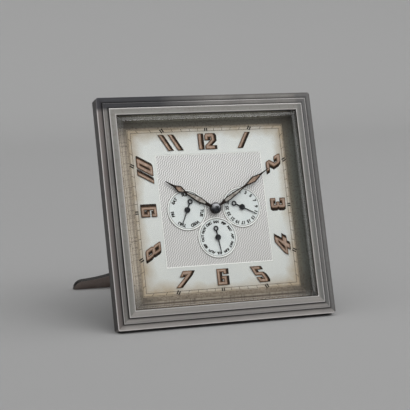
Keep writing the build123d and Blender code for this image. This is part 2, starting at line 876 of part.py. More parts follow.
def make_hairspring():
    """Hairspring, wound round the staff between the balance and its cock."""
    return spiral_band(
        hairspring_inner, hairspring_outer, hairspring_turns, hairspring_width,
        hairspring_low, hairspring_high, balance_at,
    )


def make_balance_cock():
    """Bridge on the back plate that carries the balance's rear pivot."""
    foot_at = beside(balance_at, cock_reach, cock_angle)
    foot = disc(cock_width / 2, cock_low, back_plate_back, foot_at)
    arm = bar(balance_at, foot_at, cock_width, cock_low, cock_high)
    nose = disc(cock_width / 2, cock_low, cock_high, balance_at)
    cock = foot + arm + nose
    return cock - disc(pivot_radius + pivot_gap, cock_low - overrun, overrun, balance_at)


def make_cannon_pinion():
    """Cannon pinion, a friction fit on the centre arbor; its pipe carries the minute hand."""
    pipe = disc(cannon_radius, motion_low, minute_hand_low)
    teeth = toothed(cannon_teeth, motion_module, motion_low, motion_high, centre_at, 0)
    return pipe + teeth - disc(cannon_bore, motion_low - overrun, minute_hand_low + overrun)


def make_minute_wheel():
    """Minute wheel and its pinion, turning on a stud of the front plate."""
    wheel = toothed(minute_teeth, motion_module, motion_low, motion_high, minute_wheel_at, minute_phase)
    pinion = toothed(minute_pinion_teeth, hour_module, motion_high, hour_high, minute_wheel_at, 0)
    return wheel + pinion - disc(stud_radius + fit_gap, motion_low - overrun, overrun, minute_wheel_at)


def make_hour_wheel():
    """Hour wheel with the small wheel that drives the calendar; its pipe carries the hour hand."""
    wheel = toothed(hour_teeth, hour_module, hour_low, hour_high, centre_at, hour_phase)
    small = toothed(hour_pinion_teeth, drive_module, hour_high, drive_high, centre_at, 0)
    pipe = disc(hour_pipe, hour_low, hour_hand_low)
    return wheel + small + pipe - disc(hour_bore, hour_low - overrun, hour_hand_low + overrun)


def make_drive_wheel(at, star_at):
    """Day-long wheel whose finger steps a star once each turn; it rests turned away from it."""
    wheel = toothed(drive_teeth, drive_module, drive_low, drive_high, at, drive_phases[at])
    finger_at = beside(at, finger_reach - finger_radius, direction(at, star_at) + finger_rest_angle)
    wheel += disc(finger_radius, drive_high, star_high, finger_at)
    return wheel - disc(stud_radius + fit_gap, drive_low - overrun, overrun, at)


def make_star(at, teeth, depth, jumper_angle):
    """Calendar star on its stud, with the pipe that carries its hand through the dial."""
    wheel = star(teeth, star_radius, depth, star_low, star_high, at, jumper_angle)
    wheel += disc(star_pipe, star_low, pointer_lift, at)
    return wheel - disc(star_bore, star_low - overrun, pointer_lift + overrun, at)


def make_jumper(at, teeth, depth, angle, post_angle):
    """Leaf spring on a post of the front plate, its beak in a valley of the star."""
    half_pitch = math.pi * star_radius / teeth
    tip = beside(at, star_radius - depth * 2 / 3, angle)
    shoulder = beside(at, star_radius + jumper_width, angle)
    post_at = beside(at, jumper_reach, post_angle)
    arm = bar(shoulder, post_at, jumper_width, star_low, star_high)
    sides = [beside(shoulder, half_pitch / 2, angle + turn) for turn in (90, -90)]
    beak = prism([tip, sides[1], sides[0]], star_low, star_high)
    return arm + beak + disc(jumper_post, front_plate_face, star_high, post_at)


def studs_at():
    """Places of the studs riveted in the front plate."""
    return [minute_wheel_at, day_drive_at, date_drive_at, day_at, date_at, month_at]


def make_dial_side_studs():
    """Studs that the dial-side wheels turn on, each flush with the front plate's back."""
    heights = [hour_high, drive_high, drive_high, 0, 0, 0]
    return [disc(stud_radius, front_plate_back, high, at) for at, high in zip(studs_at(), heights)]


def hand_outline(length, breadth, shares):
    """Outline of a hand that points up the dial: half-breadths at shares of its length."""
    right = [(breadth / 2 * wide, length * along) for along, wide in shares]
    left = [(-x, y) for x, y in reversed(right)]
    return right + left


# Half-breadth of a hand at shares of its length: leaf, waist, lozenge and needle
hour_hand_shares = [
    (0, 0.45), (0.11, 0.40), (0.18, 0.50), (0.32, 0.86), (0.46, 0.66), (0.58, 0.34),
    (0.62, 0.40), (0.71, 1.0), (0.81, 0.42), (0.84, 0.28), (1.0, 0.10),
]
minute_hand_shares = [
    (0, 0.45), (0.11, 0.36), (0.16, 0.62), (0.24, 0.80), (0.38, 0.62), (0.54, 0.30),
    (0.58, 0.36), (0.72, 1.0), (0.84, 0.36), (0.87, 0.24), (1.0, 0.10),
]


def make_main_hand(length, breadth, shares, low, bore, pointing):
    """One main hand: a flat plate with a round boss, turned clockwise to where it points."""
    high = low + hand_thickness
    blade = prism(hand_outline(length, breadth, shares), low, high)
    hand = blade + disc(hand_boss, low, high) - disc(bore, low - overrun, high + overrun)
    return Rot(0, 0, -pointing) * hand


def make_hour_hand():
    """Hour hand, pressed on the end of the hour wheel's pipe."""
    bore = cannon_radius + 2 * fit_gap
    return make_main_hand(
        hour_length, hour_breadth, hour_hand_shares, hour_hand_low, bore, hour_hand_angle
    )


def make_minute_hand():
    """Minute hand, seated on the end of the cannon pinion's pipe."""
    bore = centre_arbor + fit_gap / 2
    return make_main_hand(
        minute_length, minute_breadth, minute_hand_shares, minute_hand_low, bore, minute_hand_angle
    )


def make_hand_cap():
    """Polished ball that closes the hands on the centre arbor."""
    seat = minute_hand_low + hand_thickness
    room = glass_back - seat - hand_spacing / 2
    flat = min(room / cap_radius, 1)
    ball = Pos(0, 0, seat) * scale(Sphere(cap_radius), by=(1, 1, flat))
    return ball - disc(cap_radius + overrun, seat - cap_radius - overrun, seat)


def make_pointer(at, pointing):
    """Calendar hand: fine pointer, round boss and a tail that ends in an open ring."""
    low = pointer_lift
    high = low + pointer_thickness
    fine = pointer_width / 4
    blade = prism(
        [(-pointer_width / 2, 0), (pointer_width / 2, 0), (fine, pointer_length), (-fine, pointer_length)],
        low, high,
    )
    tail = bar((0, 0), (0, -pointer_tail), pointer_width, low, high)
    eye = disc(tail_ring, low, high, (0, -pointer_tail))
    hole = disc(tail_hole, low - overrun, high + overrun, (0, -pointer_tail))
    hand = blade + tail + eye - hole + disc(pointer_boss, low, high + pointer_thickness)
    return Pos(*at) * Rot(0, 0, -pointing) * hand


setting_tail = cover_back - key_stand - knob_height / 2


def make_setting_arbor():
    """Setting arbor: a wheel in mesh with the minute wheel, on a shaft that runs out to the back."""
    wheel = toothed(setting_teeth, motion_module, motion_low, motion_high, setting_at, setting_phase)
    return wheel + disc(setting_arbor_radius, setting_tail, motion_high, setting_at)


def make_setting_knob():
    """Ribbed knob on the end of the setting arbor."""
    high = cover_back - key_stand
    low = high - knob_height
    ribs = []
    for half in range(2 * knob_ribs):
        radius = knob_radius - knob_rib_depth * (half % 2)
        ribs.append(beside(setting_at, radius, half * 180 / knob_ribs))
    knob = prism(ribs, low, high) & disc(knob_radius, low, high, setting_at)
    return knob - disc(setting_arbor_radius + fit_gap / 2, setting_tail, high + overrun, setting_at)


def make_winding_key():
    """Winding key: a hub on the arbor and two rounded wings with a hole in each."""
    high = cover_back - key_stand
    low = high - key_height
    hub = disc(key_hub, low, high, barrel_at)
    wings = Pos(barrel_at[0], barrel_at[1], (low + high) / 2 - key_height / 2)
    plate = Box(2 * key_span, key_thickness, key_height)
    plate = fillet(plate.edges().filter_by(Axis.Y), key_height / 3)
    for side in (-1, 1):
        hole = Rot(90, 0, 0) * Cylinder(key_hole, key_thickness + overrun)
        plate -= Pos(side * (key_span - key_height / 2), 0, 0) * hole
    key = hub + wings * plate
    return key - disc(barrel_arbor_radius + fit_gap / 2, high - key_height / 2, high + overrun, barrel_at)


corrector_z = front_plate_face + corrector_radius + motion_gap


def corrector_walls():
    """Where each corrector passes through the case: a start inside the wall, and its axis."""
    inside = case_half - overrun
    return [
        ((-case_half - overrun, corrector_offset, corrector_z), "x"),
        ((inside, -corrector_offset, corrector_z), "x"),
        ((-corrector_offset, -case_half - overrun, corrector_z), "y"),
    ]


def make_corrector():
    """Corrector lying along x, outside end at the left: head, rod, collar and upright blade."""
    head_low = -case_half - corrector_travel - corrector_head_height - collar_height
    head_high = head_low + corrector_head_height
    star_edge = math.sqrt(star_radius**2 - corrector_offset**2)
    tip = -subdial_offset - star_edge - corrector_clear - corrector_travel
    lane = (corrector_offset, corrector_z)
    rod = cross_cylinder(corrector_radius, tip - head_low, (head_low, *lane), "x")
    head = cross_cylinder(corrector_head, corrector_head_height, (head_low, *lane), "x")
    collar_at = -case_half + case_wall + fit_gap
    collar = cross_cylinder(collar_radius, collar_height, (collar_at, *lane), "x")
    width = corrector_radius
    blade_low = corrector_z
    blade = Pos(tip - width / 2, corrector_offset, blade_low)
    blade = blade * Box(width, width, star_high - blade_low, align=base)
    return rod + head + collar + blade


def make_corrector_spring():
    """Return spring between the corrector's head and the case wall, as a plain sleeve."""
    length = corrector_travel + collar_height
    at = (-case_half - length, corrector_offset, corrector_z)
    outer = corrector_radius + fit_gap + corrector_spring_wall
    sleeve = cross_cylinder(outer, length, at, "x")
    bore_at = (at[0] - overrun, at[1], at[2])
    return sleeve - cross_cylinder(corrector_radius + fit_gap, length + 2 * overrun, bore_at, "x")


def leaf_rivets_at():
    """Places of the hinge leaf's rivets in the back cover."""
    return [(side * knuckle_length, hinge_height + leaf_rise - 2 * rivet_radius) for side in (-1, 1)]


def knuckle(radius, start, length):
    """Hinge knuckle lying along x on the hinge's axis."""
    return cross_cylinder(radius, length, (start, hinge_height, hinge_z), "x")


def make_hinge_bracket():
    """Hinge leaf riveted to the back cover, with a knuckle at each side of the strut's."""
    reach = 3 / 2 * knuckle_length + knuckle_gap
    leaf_low = cover_back - leaf_thickness
    leaf = Pos(0, hinge_height, leaf_low) * Box(2 * reach, 2 * leaf_rise, leaf_thickness, align=base)
    for start in (-reach, reach - knuckle_length):
        web = Box(knuckle_length, 2 * knuckle_radius, leaf_low - hinge_z, align=base)
        leaf += Pos(start + knuckle_length / 2, hinge_height, hinge_z) * web
        leaf += knuckle(knuckle_radius, start, knuckle_length)
    leaf -= knuckle(hinge_pin_radius + fit_gap, -reach - overrun, 2 * reach + 2 * overrun)
    for at in leaf_rivets_at():
        leaf += disc(rivet_radius, cover_back, cover_front, at)
    return leaf


def make_hinge_pin():
    """Hinge pin through the three knuckles, as long as they are together."""
    reach = 3 / 2 * knuckle_length + knuckle_gap
    return knuckle(hinge_pin_radius, -reach, 2 * reach)


ground_drop = frame_half * math.cos(math.radians(lean_angle)) - frame_back * math.sin(
    math.radians(lean_angle)
) - land_cut
hinge_above_ground = (
    ground_drop
    + hinge_height * math.cos(math.radians(lean_angle))
    + hinge_z * math.sin(math.radians(lean_angle))
)
strut_length = hinge_above_ground / math.cos(math.radians(strut_open_angle - lean_angle))


def make_strut():
    """Easel strut: narrow neck, sides that flare in a quarter ellipse, and a wide foot."""
    tip_y = -strut_length + tip_height
    flare_y = -flare_start
    sole_y = -strut_length - strut_thickness
    flare = EllipticalCenterArc(
        (foot_half, flare_y), foot_half - neck_half, flare_y - tip_y, start_angle=180, arc_size=90
    )
    side = Polyline((foot_half, tip_y), (foot_half, sole_y), (0, sole_y), (0, 0), (neck_half, 0))
    closing = Line((neck_half, 0), (neck_half, flare_y))
    half = make_face([flare, side, closing])
    plate = extrude(half + mirror(half, Plane.YZ), strut_thickness, dir=(0, 0, 1))
    tips = [
        edge for edge in plate.edges().filter_by(Axis.Z)
        if abs(edge.center().Y - tip_y) < tip_height / 2 and abs(edge.center().X) > neck_half
    ]
    plate = fillet(tips, min(tip_round, tip_height))
    plate = Pos(0, hinge_height, hinge_z - strut_thickness / 2) * plate
    gap_half = knuckle_length / 2
    notch_reach = knuckle_radius + knuckle_gap
    for start in (gap_half, -gap_half - overrun - knuckle_length):
        room = Box(knuckle_length + overrun, 2 * notch_reach, 2 * notch_reach)
        plate -= Pos(start + (knuckle_length + overrun) / 2, hinge_height, hinge_z) * room
    plate += knuckle(knuckle_radius, -gap_half, knuckle_length)
    half_turn = math.radians(strut_open_angle)
    stop_reach = (axis_stand - stop_gap - strut_thickness / 2 * math.cos(half_turn)) / math.sin(half_turn)
    stop = Box(knuckle_length, stop_reach, strut_thickness, align=(Align.CENTER, Align.MIN, Align.CENTER))
    plate += Pos(0, hinge_height, hinge_z) * stop
    plate -= knuckle(hinge_pin_radius + fit_gap, -gap_half - overrun, knuckle_length + 2 * overrun)
    turn = Pos(0, hinge_height, hinge_z) * Rot(strut_open_angle, 0, 0) * Pos(0, -hinge_height, -hinge_z)
    return turn * plate


pieces = {
    "bezel_frame": make_bezel_frame(),
    "glass": make_glass(),
    "glass_retainer": make_glass_retainer(),
    "dial_plate": make_dial_plate(),
    "hour_numerals": make_hour_numerals(),
    "subdial_discs": make_subdial_discs(),
    "subdial_rings": make_subdial_rings(),
    "hour_hand": make_hour_hand(),
    "minute_hand": make_minute_hand(),
    "hand_cap": make_hand_cap(),
    "day_hand": make_pointer(day_at, day_hand_angle),
    "date_hand": make_pointer(date_at, date_hand_angle),
    "month_hand": make_pointer(month_at, month_hand_angle),
    "case_body": make_case_body(),
    "back_cover": make_back_cover(),
    "cover_screws": make_cover_screws(),
    "frame_screws": make_frame_screws(),
    "front_plate": make_front_plate(),
    "back_plate": make_back_plate(),
    "pillars": make_pillars(),
    "plate_screws": make_plate_screws(),
    "barrel": make_barrel(),
    "mainspring": make_mainspring(),
    "barrel_arbor": make_barrel_arbor(),
    "ratchet_wheel": make_ratchet_wheel(),
    "click": make_click(),
    "intermediate_wheel": make_intermediate_wheel(),
    "centre_wheel": make_centre_wheel(),
    "third_wheel": make_third_wheel(),
    "fourth_wheel": make_fourth_wheel(),
    "escape_wheel": make_escape_wheel(),
    "pallet_lever": make_pallet_lever(),
    "balance_wheel": make_balance_wheel(),
    "hairspring": make_hairspring(),
    "balance_cock": make_balance_cock(),
    "cannon_pinion": make_cannon_pinion(),
    "minute_wheel": make_minute_wheel(),
    "hour_wheel": make_hour_wheel(),
    "day_drive_wheel": make_drive_wheel(day_drive_at, day_at),
    "date_drive_wheel": make_drive_wheel(date_drive_at, date_at),
    "day_star": make_star(day_at, day_star_teeth, star_depth, day_jumper_angle),
    "date_star": make_star(date_at, date_star_teeth, date_star_depth, date_jumper_angle),
    "month_star": make_star(month_at, month_star_teeth, star_depth, month_jumper_angle),
    "day_jumper": make_jumper(
        day_at, day_star_teeth, star_depth, day_jumper_angle, day_jumper_angle + jumper_turn_angle
    ),
    "date_jumper": make_jumper(
        date_at, date_star_teeth, date_star_depth, date_jumper_angle, date_jumper_angle - jumper_turn_angle
    ),
    "month_jumper": make_jumper(
        month_at, month_star_teeth, star_depth, month_jumper_angle, month_jumper_angle + jumper_turn_angle
    ),
    "dial_side_studs": make_dial_side_studs(),
    "setting_arbor": make_setting_arbor(),
    "setting_knob": make_setting_knob(),
    "winding_key": make_winding_key(),
    "hinge_bracket": make_hinge_bracket(),
    "hinge_pin": make_hinge_pin(),
    "strut": make_strut(),
}
for name, turn in (("day", 0), ("date", 180), ("month", 90)):
    pieces[f"{name}_corrector"] = Rot(0, 0, turn) * make_corrector()
    pieces[f"{name}_corrector_spring"] = Rot(0, 0, turn) * make_corrector_spring()

# The whole clock leans back on its lower edge, and the ground cuts a narrow land there
lean = math.radians(lean_angle)
dial_frame = Plane(
    origin=(0, 0, ground_drop), x_dir=(1, 0, 0), z_dir=(0, -math.cos(lean), math.sin(lean))
)
ground = Pos(0, 0, -overrun) * Box(4 * frame_half, 8 * frame_half, 2 * overrun)

standing = {}
for name, piece in pieces.items():
    solids = piece if isinstance(piece, list) else [piece]
    standing[name] = [dial_frame.location * solid for solid in solids]
for name in ("bezel_frame", "strut"):
    standing[name] = [solid - ground for solid in standing[name]]

# The origin is the middle of the clock's footprint, on the ground
whole = Compound(children=[Compound(part.wrapped) for solids in standing.values() for part in solids])
box = whole.bounding_box()
shift = Pos(-(box.min.X + box.max.X) / 2, -(box.min.Y + box.max.Y) / 2, -box.min.Z)

os.makedirs("parts", exist_ok=True)
for name, solids in standing.items():
    shapes = [shift * part for solid in solids for part in solid.solids()]
    export_step(Compound(shapes) if len(shapes) > 1 else shapes[0], f"parts/{name}.step")
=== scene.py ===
import json
import math

import bmesh
import bpy
import numpy as np
from mathutils import Matrix, Vector
from mathutils.geometry import tessellate_polygon


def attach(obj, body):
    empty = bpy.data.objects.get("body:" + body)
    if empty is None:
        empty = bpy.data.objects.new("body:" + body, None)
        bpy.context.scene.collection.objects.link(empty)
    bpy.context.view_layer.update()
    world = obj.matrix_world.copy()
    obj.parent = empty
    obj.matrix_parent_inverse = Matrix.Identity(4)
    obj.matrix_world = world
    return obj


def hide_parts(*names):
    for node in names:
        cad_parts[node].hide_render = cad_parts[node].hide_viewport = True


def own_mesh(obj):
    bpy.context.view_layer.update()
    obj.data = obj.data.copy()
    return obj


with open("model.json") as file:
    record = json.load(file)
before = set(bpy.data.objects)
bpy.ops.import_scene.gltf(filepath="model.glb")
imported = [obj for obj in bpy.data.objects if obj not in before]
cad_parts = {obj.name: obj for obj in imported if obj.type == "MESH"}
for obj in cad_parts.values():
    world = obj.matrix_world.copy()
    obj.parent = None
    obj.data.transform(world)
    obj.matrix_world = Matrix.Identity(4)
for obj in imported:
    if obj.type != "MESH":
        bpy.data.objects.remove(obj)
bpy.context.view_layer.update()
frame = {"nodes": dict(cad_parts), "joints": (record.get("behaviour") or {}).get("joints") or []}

# Movement: two brass plates with their pillars and wheels between them, steel arbors and springs.
# The plates are sawn from rolled sheet and grained with fine stone, the wheels cut and polished.
# All of it is screwed to the dial's feet and shut in by the case.
minute_joint = next(joint for joint in frame["joints"] if joint["name"] == "minute_turn")
dial_centre = np.array(minute_joint["pos_m"])
out_of_dial = -np.array(minute_joint["axis"])
across_dial = np.array([1.0, 0.0, 0.0])
up_dial = np.cross(out_of_dial, across_dial)
dial_tilt = math.atan2(up_dial[2], up_dial[1])


def linear(hex_colour):
    """Linear RGBA of an sRGB hex colour: c / 12.92 below 0.04045, else ((c + 0.055) / 1.055) ^ 2.4."""
    code = np.array([int(hex_colour[i:i + 2], 16) for i in (1, 3, 5)]) / 255
    light = np.where(code <= 0.04045, code / 12.92, ((code + 0.055) / 1.055) ** 2.4)
    return (*light.tolist(), 1.0)


def wire(tree, node, inputs):
    """Set a node's sockets, by name or number, to plain values or to links from other nodes' outputs."""
    for key, value in inputs.items():
        if isinstance(value, bpy.types.NodeSocket):
            tree.links.new(value, node.inputs[key])
        else:
            node.inputs[key].default_value = value
    return node


def add(tree, kind, inputs, **settings):
    """Add one node with its settings and its sockets."""
    node = tree.nodes.new(kind)
    for key, value in settings.items():
        setattr(node, key, value)
    return wire(tree, node, inputs)


def new_material(name, **plain):
    """A node material, its tree and its Principled shader with plain socket values (spaces as _)."""
    made = bpy.data.materials.new(name)
    made.use_nodes = True
    shader = made.node_tree.nodes["Principled BSDF"]
    wire(made.node_tree, shader, {key.replace("_", " "): value for key, value in plain.items()})
    return made, made.node_tree, shader


def dial_millimetres(tree):
    """Object coordinates turned into the dial's own frame: x across, y up the dial, z out, in mm."""
    place = add(tree, "ShaderNodeTexCoord", {})
    turned = add(tree, "ShaderNodeMapping", {
        "Vector": place.outputs["Object"], "Location": dial_centre, "Rotation": (dial_tilt, 0, 0),
        "Scale": (0.001, 0.001, 0.001)}, vector_type="TEXTURE")
    return turned.outputs[0]


def finish_nodes(made, *nodes):
    """Give a material to carried-over CAD nodes."""
    for node in nodes:
        frame["nodes"][node].data.materials.clear()
        frame["nodes"][node].data.materials.append(made)


# Rolled brass, stone-grained: warm yellow with straight grain lines about 0.3 mm apart
grained_brass, tree, shader = new_material("grained_brass", Metallic=1.0)
grain = add(tree, "ShaderNodeTexNoise", {
    "Vector": add(tree, "ShaderNodeMapping", {
        "Vector": dial_millimetres(tree), "Scale": (0.08, 3.0, 3.0)}).outputs[0],
    "Scale": 1.0, "Detail": 3.0})
wire(tree, shader, {
    "Base Color": add(tree, "ShaderNodeMix", {
        0: grain.outputs["Fac"], 6: linear("#b08d4a"), 7: linear("#d9bd7c")},
        data_type="RGBA").outputs[2],
    "Roughness": add(tree, "ShaderNodeMapRange", {
        "Value": grain.outputs["Fac"], "To Min": 0.25, "To Max": 0.42}).outputs[0],
    "Normal": add(tree, "ShaderNodeBump", {
        "Height": grain.outputs["Fac"], "Strength": 0.2, "Distance": 0.00002}).outputs[0]})
finish_nodes(
    grained_brass, "front_plate", "back_plate", "pillars", "barrel", "intermediate_wheel", "centre_wheel",
    "third_wheel", "fourth_wheel", "escape_wheel", "balance_wheel", "balance_cock", "minute_wheel",
    "hour_wheel", "day_drive_wheel", "date_drive_wheel", "day_star", "date_star", "month_star")


def clouded_finish(name, dark, pale, scale, detail, rough=None, **plain):
    """A material whose colour drifts between two with noise on the dial's millimetres, and its roughness too
    where a (low, high) pair is given."""
    made, tree, shader = new_material(name, **plain)
    cloud = add(tree, "ShaderNodeTexNoise", {
        "Vector": dial_millimetres(tree), "Scale": scale, "Detail": detail})
    wire(tree, shader, {"Base Color": add(tree, "ShaderNodeMix", {
        0: cloud.outputs["Fac"], 6: linear(dark), 7: linear(pale)}, data_type="RGBA").outputs[2]})
    if rough:
        wire(tree, shader, {"Roughness": add(tree, "ShaderNodeMapRange", {
            "Value": cloud.outputs["Fac"], "To Min": rough[0], "To Max": rough[1]}).outputs[0]})
    return made


# Polished carbon steel: cool grey with fine turning marks about 0.2 mm apart
turned_steel = clouded_finish(
    "turned_steel", "#8b8c8f", "#b4b5b8", scale=5.0, detail=2.0, rough=(0.2, 0.36), Metallic=1.0)
finish_nodes(
    turned_steel, "plate_screws", "barrel_arbor", "mainspring", "click", "pallet_lever", "hairspring",
    "day_jumper", "date_jumper", "month_jumper", "dial_side_studs", "setting_arbor", "cannon_pinion",
    "ratchet_wheel", "hinge_pin", "cover_screws", "frame_screws")

# Dial plate: brass, silvered with a matt chemical silver. Its rim is a gilt border turned with fine
# lines parallel to the edge, then comes a smooth band for the hours, and in the middle a square
# of engine turning, cut before silvering.
dial_half = 48.4
border_half = 40.0
square_half = 27.2
sharp_corner = 0.2


def on_dial(points):
    """World metres of points given in the dial's frame in mm: centre + x across + y up + z out."""
    p = np.asarray(points, float) / 1000
    return dial_centre + p[..., :1] * across_dial + p[..., 1:2] * up_dial + p[..., 2:3] * out_of_dial


def grid_faces(rows, columns, wrap_rows, wrap_columns):
    """Quads between neighbours of a grid of points that is numbered row by row."""
    i, j = np.meshgrid(np.arange(rows - (not wrap_rows)), np.arange(columns - (not wrap_columns)),
                       indexing="ij")
    low, high = i * columns, (i + 1) % rows * columns
    right = (j + 1) % columns
    return np.stack([low + j, low + right, high + right, high + j], -1).reshape(-1, 4)


def new_piece(name, points, faces, made, body, slot, crease=30.0):
    """A piece from points in the dial's frame in mm: normals outwards, smooth up to the crease angle."""
    mesh = bpy.data.meshes.new(name)
    mesh.from_pydata(on_dial(points).tolist(), [], [list(face) for face in faces])
    shell = bmesh.new()
    shell.from_mesh(mesh)
    bmesh.ops.recalc_face_normals(shell, faces=shell.faces)
    shell.to_mesh(mesh)
    shell.free()
    mesh.polygons.foreach_set("use_smooth", np.ones(len(mesh.polygons), bool))
    mesh.set_sharp_from_angle(angle=math.radians(crease))
    mesh.materials.append(made)
    piece = bpy.data.objects.new(name, mesh)
    bpy.context.scene.collection.objects.link(piece)
    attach(piece, body)
    return piece


def rounded_square(half, radius, steps):
    """Corners of a square as quarter circles: (half - r) corner + r (cos t, sin t), t = 0 to 360."""
    quarter = np.arange(4)[:, None]
    turn = np.radians(90 * quarter + np.linspace(0, 90, steps + 1))
    corner = np.radians(90 * quarter + 45)
    middle = (half - radius) * math.sqrt(2) * np.stack([np.cos(corner), np.sin(corner)], -1)
    arc = radius * np.stack([np.cos(turn), np.sin(turn)], -1)
    return (middle + arc).reshape(-1, 2)


def swept_square(profile, corner_radius, steps):
    """Profile of (half-width, height) carried round a square: a closed grid of profile point by corner point,
    where the corners' radius shrinks inwards with the half-width, down to a sharp corner's."""
    around = 4 * (steps + 1)
    inwards = profile[:, 0].max() - profile[:, 0]
    rows = [np.column_stack([
        rounded_square(half, max(corner_radius - inward, sharp_corner), steps), np.full(around, height)])
        for (half, height), inward in zip(profile, inwards)]
    return np.vstack(rows), grid_faces(len(profile), around, True, True)


# Fine lines turned parallel to the rim: height = low + depth (1 + cos(2 pi s / pitch)) / 2, with s the way
# out from the border's inner edge
line_pitch = 0.55
line_depth = 0.05
line_points = 84
silvered_low = 0.03
border_outer = dial_half - 0.05
border_lines = np.linspace(border_outer, border_half, line_points)
waves = 1 + np.cos((border_lines - border_half) * 2 * np.pi / line_pitch)
border_profile = np.vstack([
    [[border_half, 0.0], [border_outer, 0.0]],
    np.column_stack([border_lines, silvered_low + line_depth / 2 * waves])])
# Gilding, browned in the turned lines and rubbed pale between them, with painted light making it palest on
# the left. Along the top and the right, painted shade from the frame turns it slate grey, with a painted
# highlight as a paler line at the very edge of the top. Painted shade darkens the lower rim and the corners,
# and brown specks lie over it all.
gilt_border, tree, shader = new_material("gilt_brass_turned", Metallic=0.35)
place = dial_millimetres(tree)
axes = add(tree, "ShaderNodeSeparateXYZ", {0: place})
flank = add(tree, "ShaderNodeMath", {0: axes.outputs[0]}, operation="ABSOLUTE")
rise = add(tree, "ShaderNodeMath", {0: axes.outputs[1]}, operation="ABSOLUTE")
reach = add(tree, "ShaderNodeMath", {0: flank.outputs[0], 1: rise.outputs[0]}, operation="MAXIMUM")
nook = add(tree, "ShaderNodeMath", {0: flank.outputs[0], 1: rise.outputs[0]}, operation="MINIMUM")
right_side = add(tree, "ShaderNodeMath", {0: axes.outputs[0], 1: rise.outputs[0]}, operation="GREATER_THAN")
top_side = add(tree, "ShaderNodeMath", {0: axes.outputs[1], 1: flank.outputs[0]}, operation="GREATER_THAN")
stain = add(tree, "ShaderNodeTexNoise", {"Vector": place, "Scale": 0.16, "Detail": 5.0, "Roughness": 0.62})
speck = add(tree, "ShaderNodeTexNoise", {"Vector": place, "Scale": 1.1, "Detail": 3.0})
rubbed = add(tree, "ShaderNodeMix", {
    0: stain.outputs["Fac"], 6: linear("#8f8273"), 7: linear("#c6b9a8")}, data_type="RGBA")
painted_shade_and_light = {"right": linear("#766e61"), "top": linear("#93887a")}
# Painted shade from the frame on the right and the top, and a painted highlight at the top's outer edge
for where, start, end, colour in (
        ("right", 40.2, 43.4, "#5e5f59"), ("top", 40.5, 40.9, "#66625a"), ("top", 43.4, 43.8, "#8b877a")):
    fade = add(tree, "ShaderNodeMapRange", {"Value": reach.outputs[0], "From Min": start, "From Max": end})
    painted_shade_and_light[where] = add(tree, "ShaderNodeMix", {
        0: fade.outputs[0], 6: painted_shade_and_light[where], 7: linear(colour)}, data_type="RGBA").outputs[2]
tone = linear("#5a493c")
# Painted light on the left; painted shade at the lower rim, right, top and corners; then brown specks
for value, start, end, most, colour in (
        (axes.outputs[2], 0.035, 0.07, 1.0, rubbed.outputs[2]),
        (axes.outputs[0], -40.0, -40.5, 0.3, linear("#e2d5c4")),
        (axes.outputs[1], -40.8, -43.8, 0.6, linear("#4c463f")),
        (right_side.outputs[0], 0.0, 1.0, 1.0, painted_shade_and_light["right"]),
        (top_side.outputs[0], 0.0, 1.0, 1.0, painted_shade_and_light["top"]),
        (nook.outputs[0], 31.0, 41.0, 0.7, linear("#524c45")),
        (speck.outputs["Fac"], 0.5, 0.7, 0.6, linear("#4a3d33"))):
    share = add(tree, "ShaderNodeMapRange", {
        "Value": value, "From Min": start, "From Max": end, "To Max": most})
    tone = add(tree, "ShaderNodeMix", {
        0: share.outputs[0], 6: tone, 7: colour}, data_type="RGBA").outputs[2]
wire(tree, shader, {
    "Base Color": tone,
    "Roughness": add(tree, "ShaderNodeMapRange", {
        "Value": speck.outputs["Fac"], "To Min": 0.62, "To Max": 0.8}).outputs[0]})
points, faces = swept_square(border_profile, sharp_corner, steps=1)
new_piece("dial_border", points, faces, gilt_border, "case", "silvered_dial")

# Matt silvering: nearly white with faint clouds, with painted shade making it a little duller towards the
# bottom, and yellowed by old lacquer from the rim inwards, in an uneven edge that the clouds push in and out
matt_silver, tree, shader = new_material("matt_silvering", Metallic=0.15)
place = dial_millimetres(tree)
axes = add(tree, "ShaderNodeSeparateXYZ", {0: place})
reach = add(tree, "ShaderNodeMath", {
    0: add(tree, "ShaderNodeMath", {0: axes.outputs[0]}, operation="ABSOLUTE").outputs[0],
    1: add(tree, "ShaderNodeMath", {0: axes.outputs[1]}, operation="ABSOLUTE").outputs[0]},
    operation="MAXIMUM")
cloud = add(tree, "ShaderNodeTexNoise", {"Vector": place, "Scale": 0.09, "Detail": 4.0, "Roughness": 0.6})
diagonal = add(tree, "ShaderNodeVectorMath", {0: place}, operation="LENGTH")
rounder = add(tree, "ShaderNodeMix", {0: 0.15, 2: reach.outputs[0], 3: diagonal.outputs["Value"]})
lean = add(tree, "ShaderNodeMath", {
    0: axes.outputs[0], 1: -0.01, 2: rounder.outputs[0]}, operation="MULTIPLY_ADD")
edge = add(tree, "ShaderNodeMath", {
    0: add(tree, "ShaderNodeMath", {
        0: cloud.outputs["Fac"], 1: 9.0, 2: lean.outputs[0]}, operation="MULTIPLY_ADD").outputs[0],
    1: 4.5}, operation="SUBTRACT")
yellow = add(tree, "ShaderNodeMapRange", {
    "Value": edge.outputs[0], "From Min": 34.5, "From Max": 41.0, "To Max": 0.9})
clouded = add(tree, "ShaderNodeMix", {
    0: cloud.outputs["Fac"], 6: linear("#d2d4d6"), 7: linear("#e4e4e0")}, data_type="RGBA")
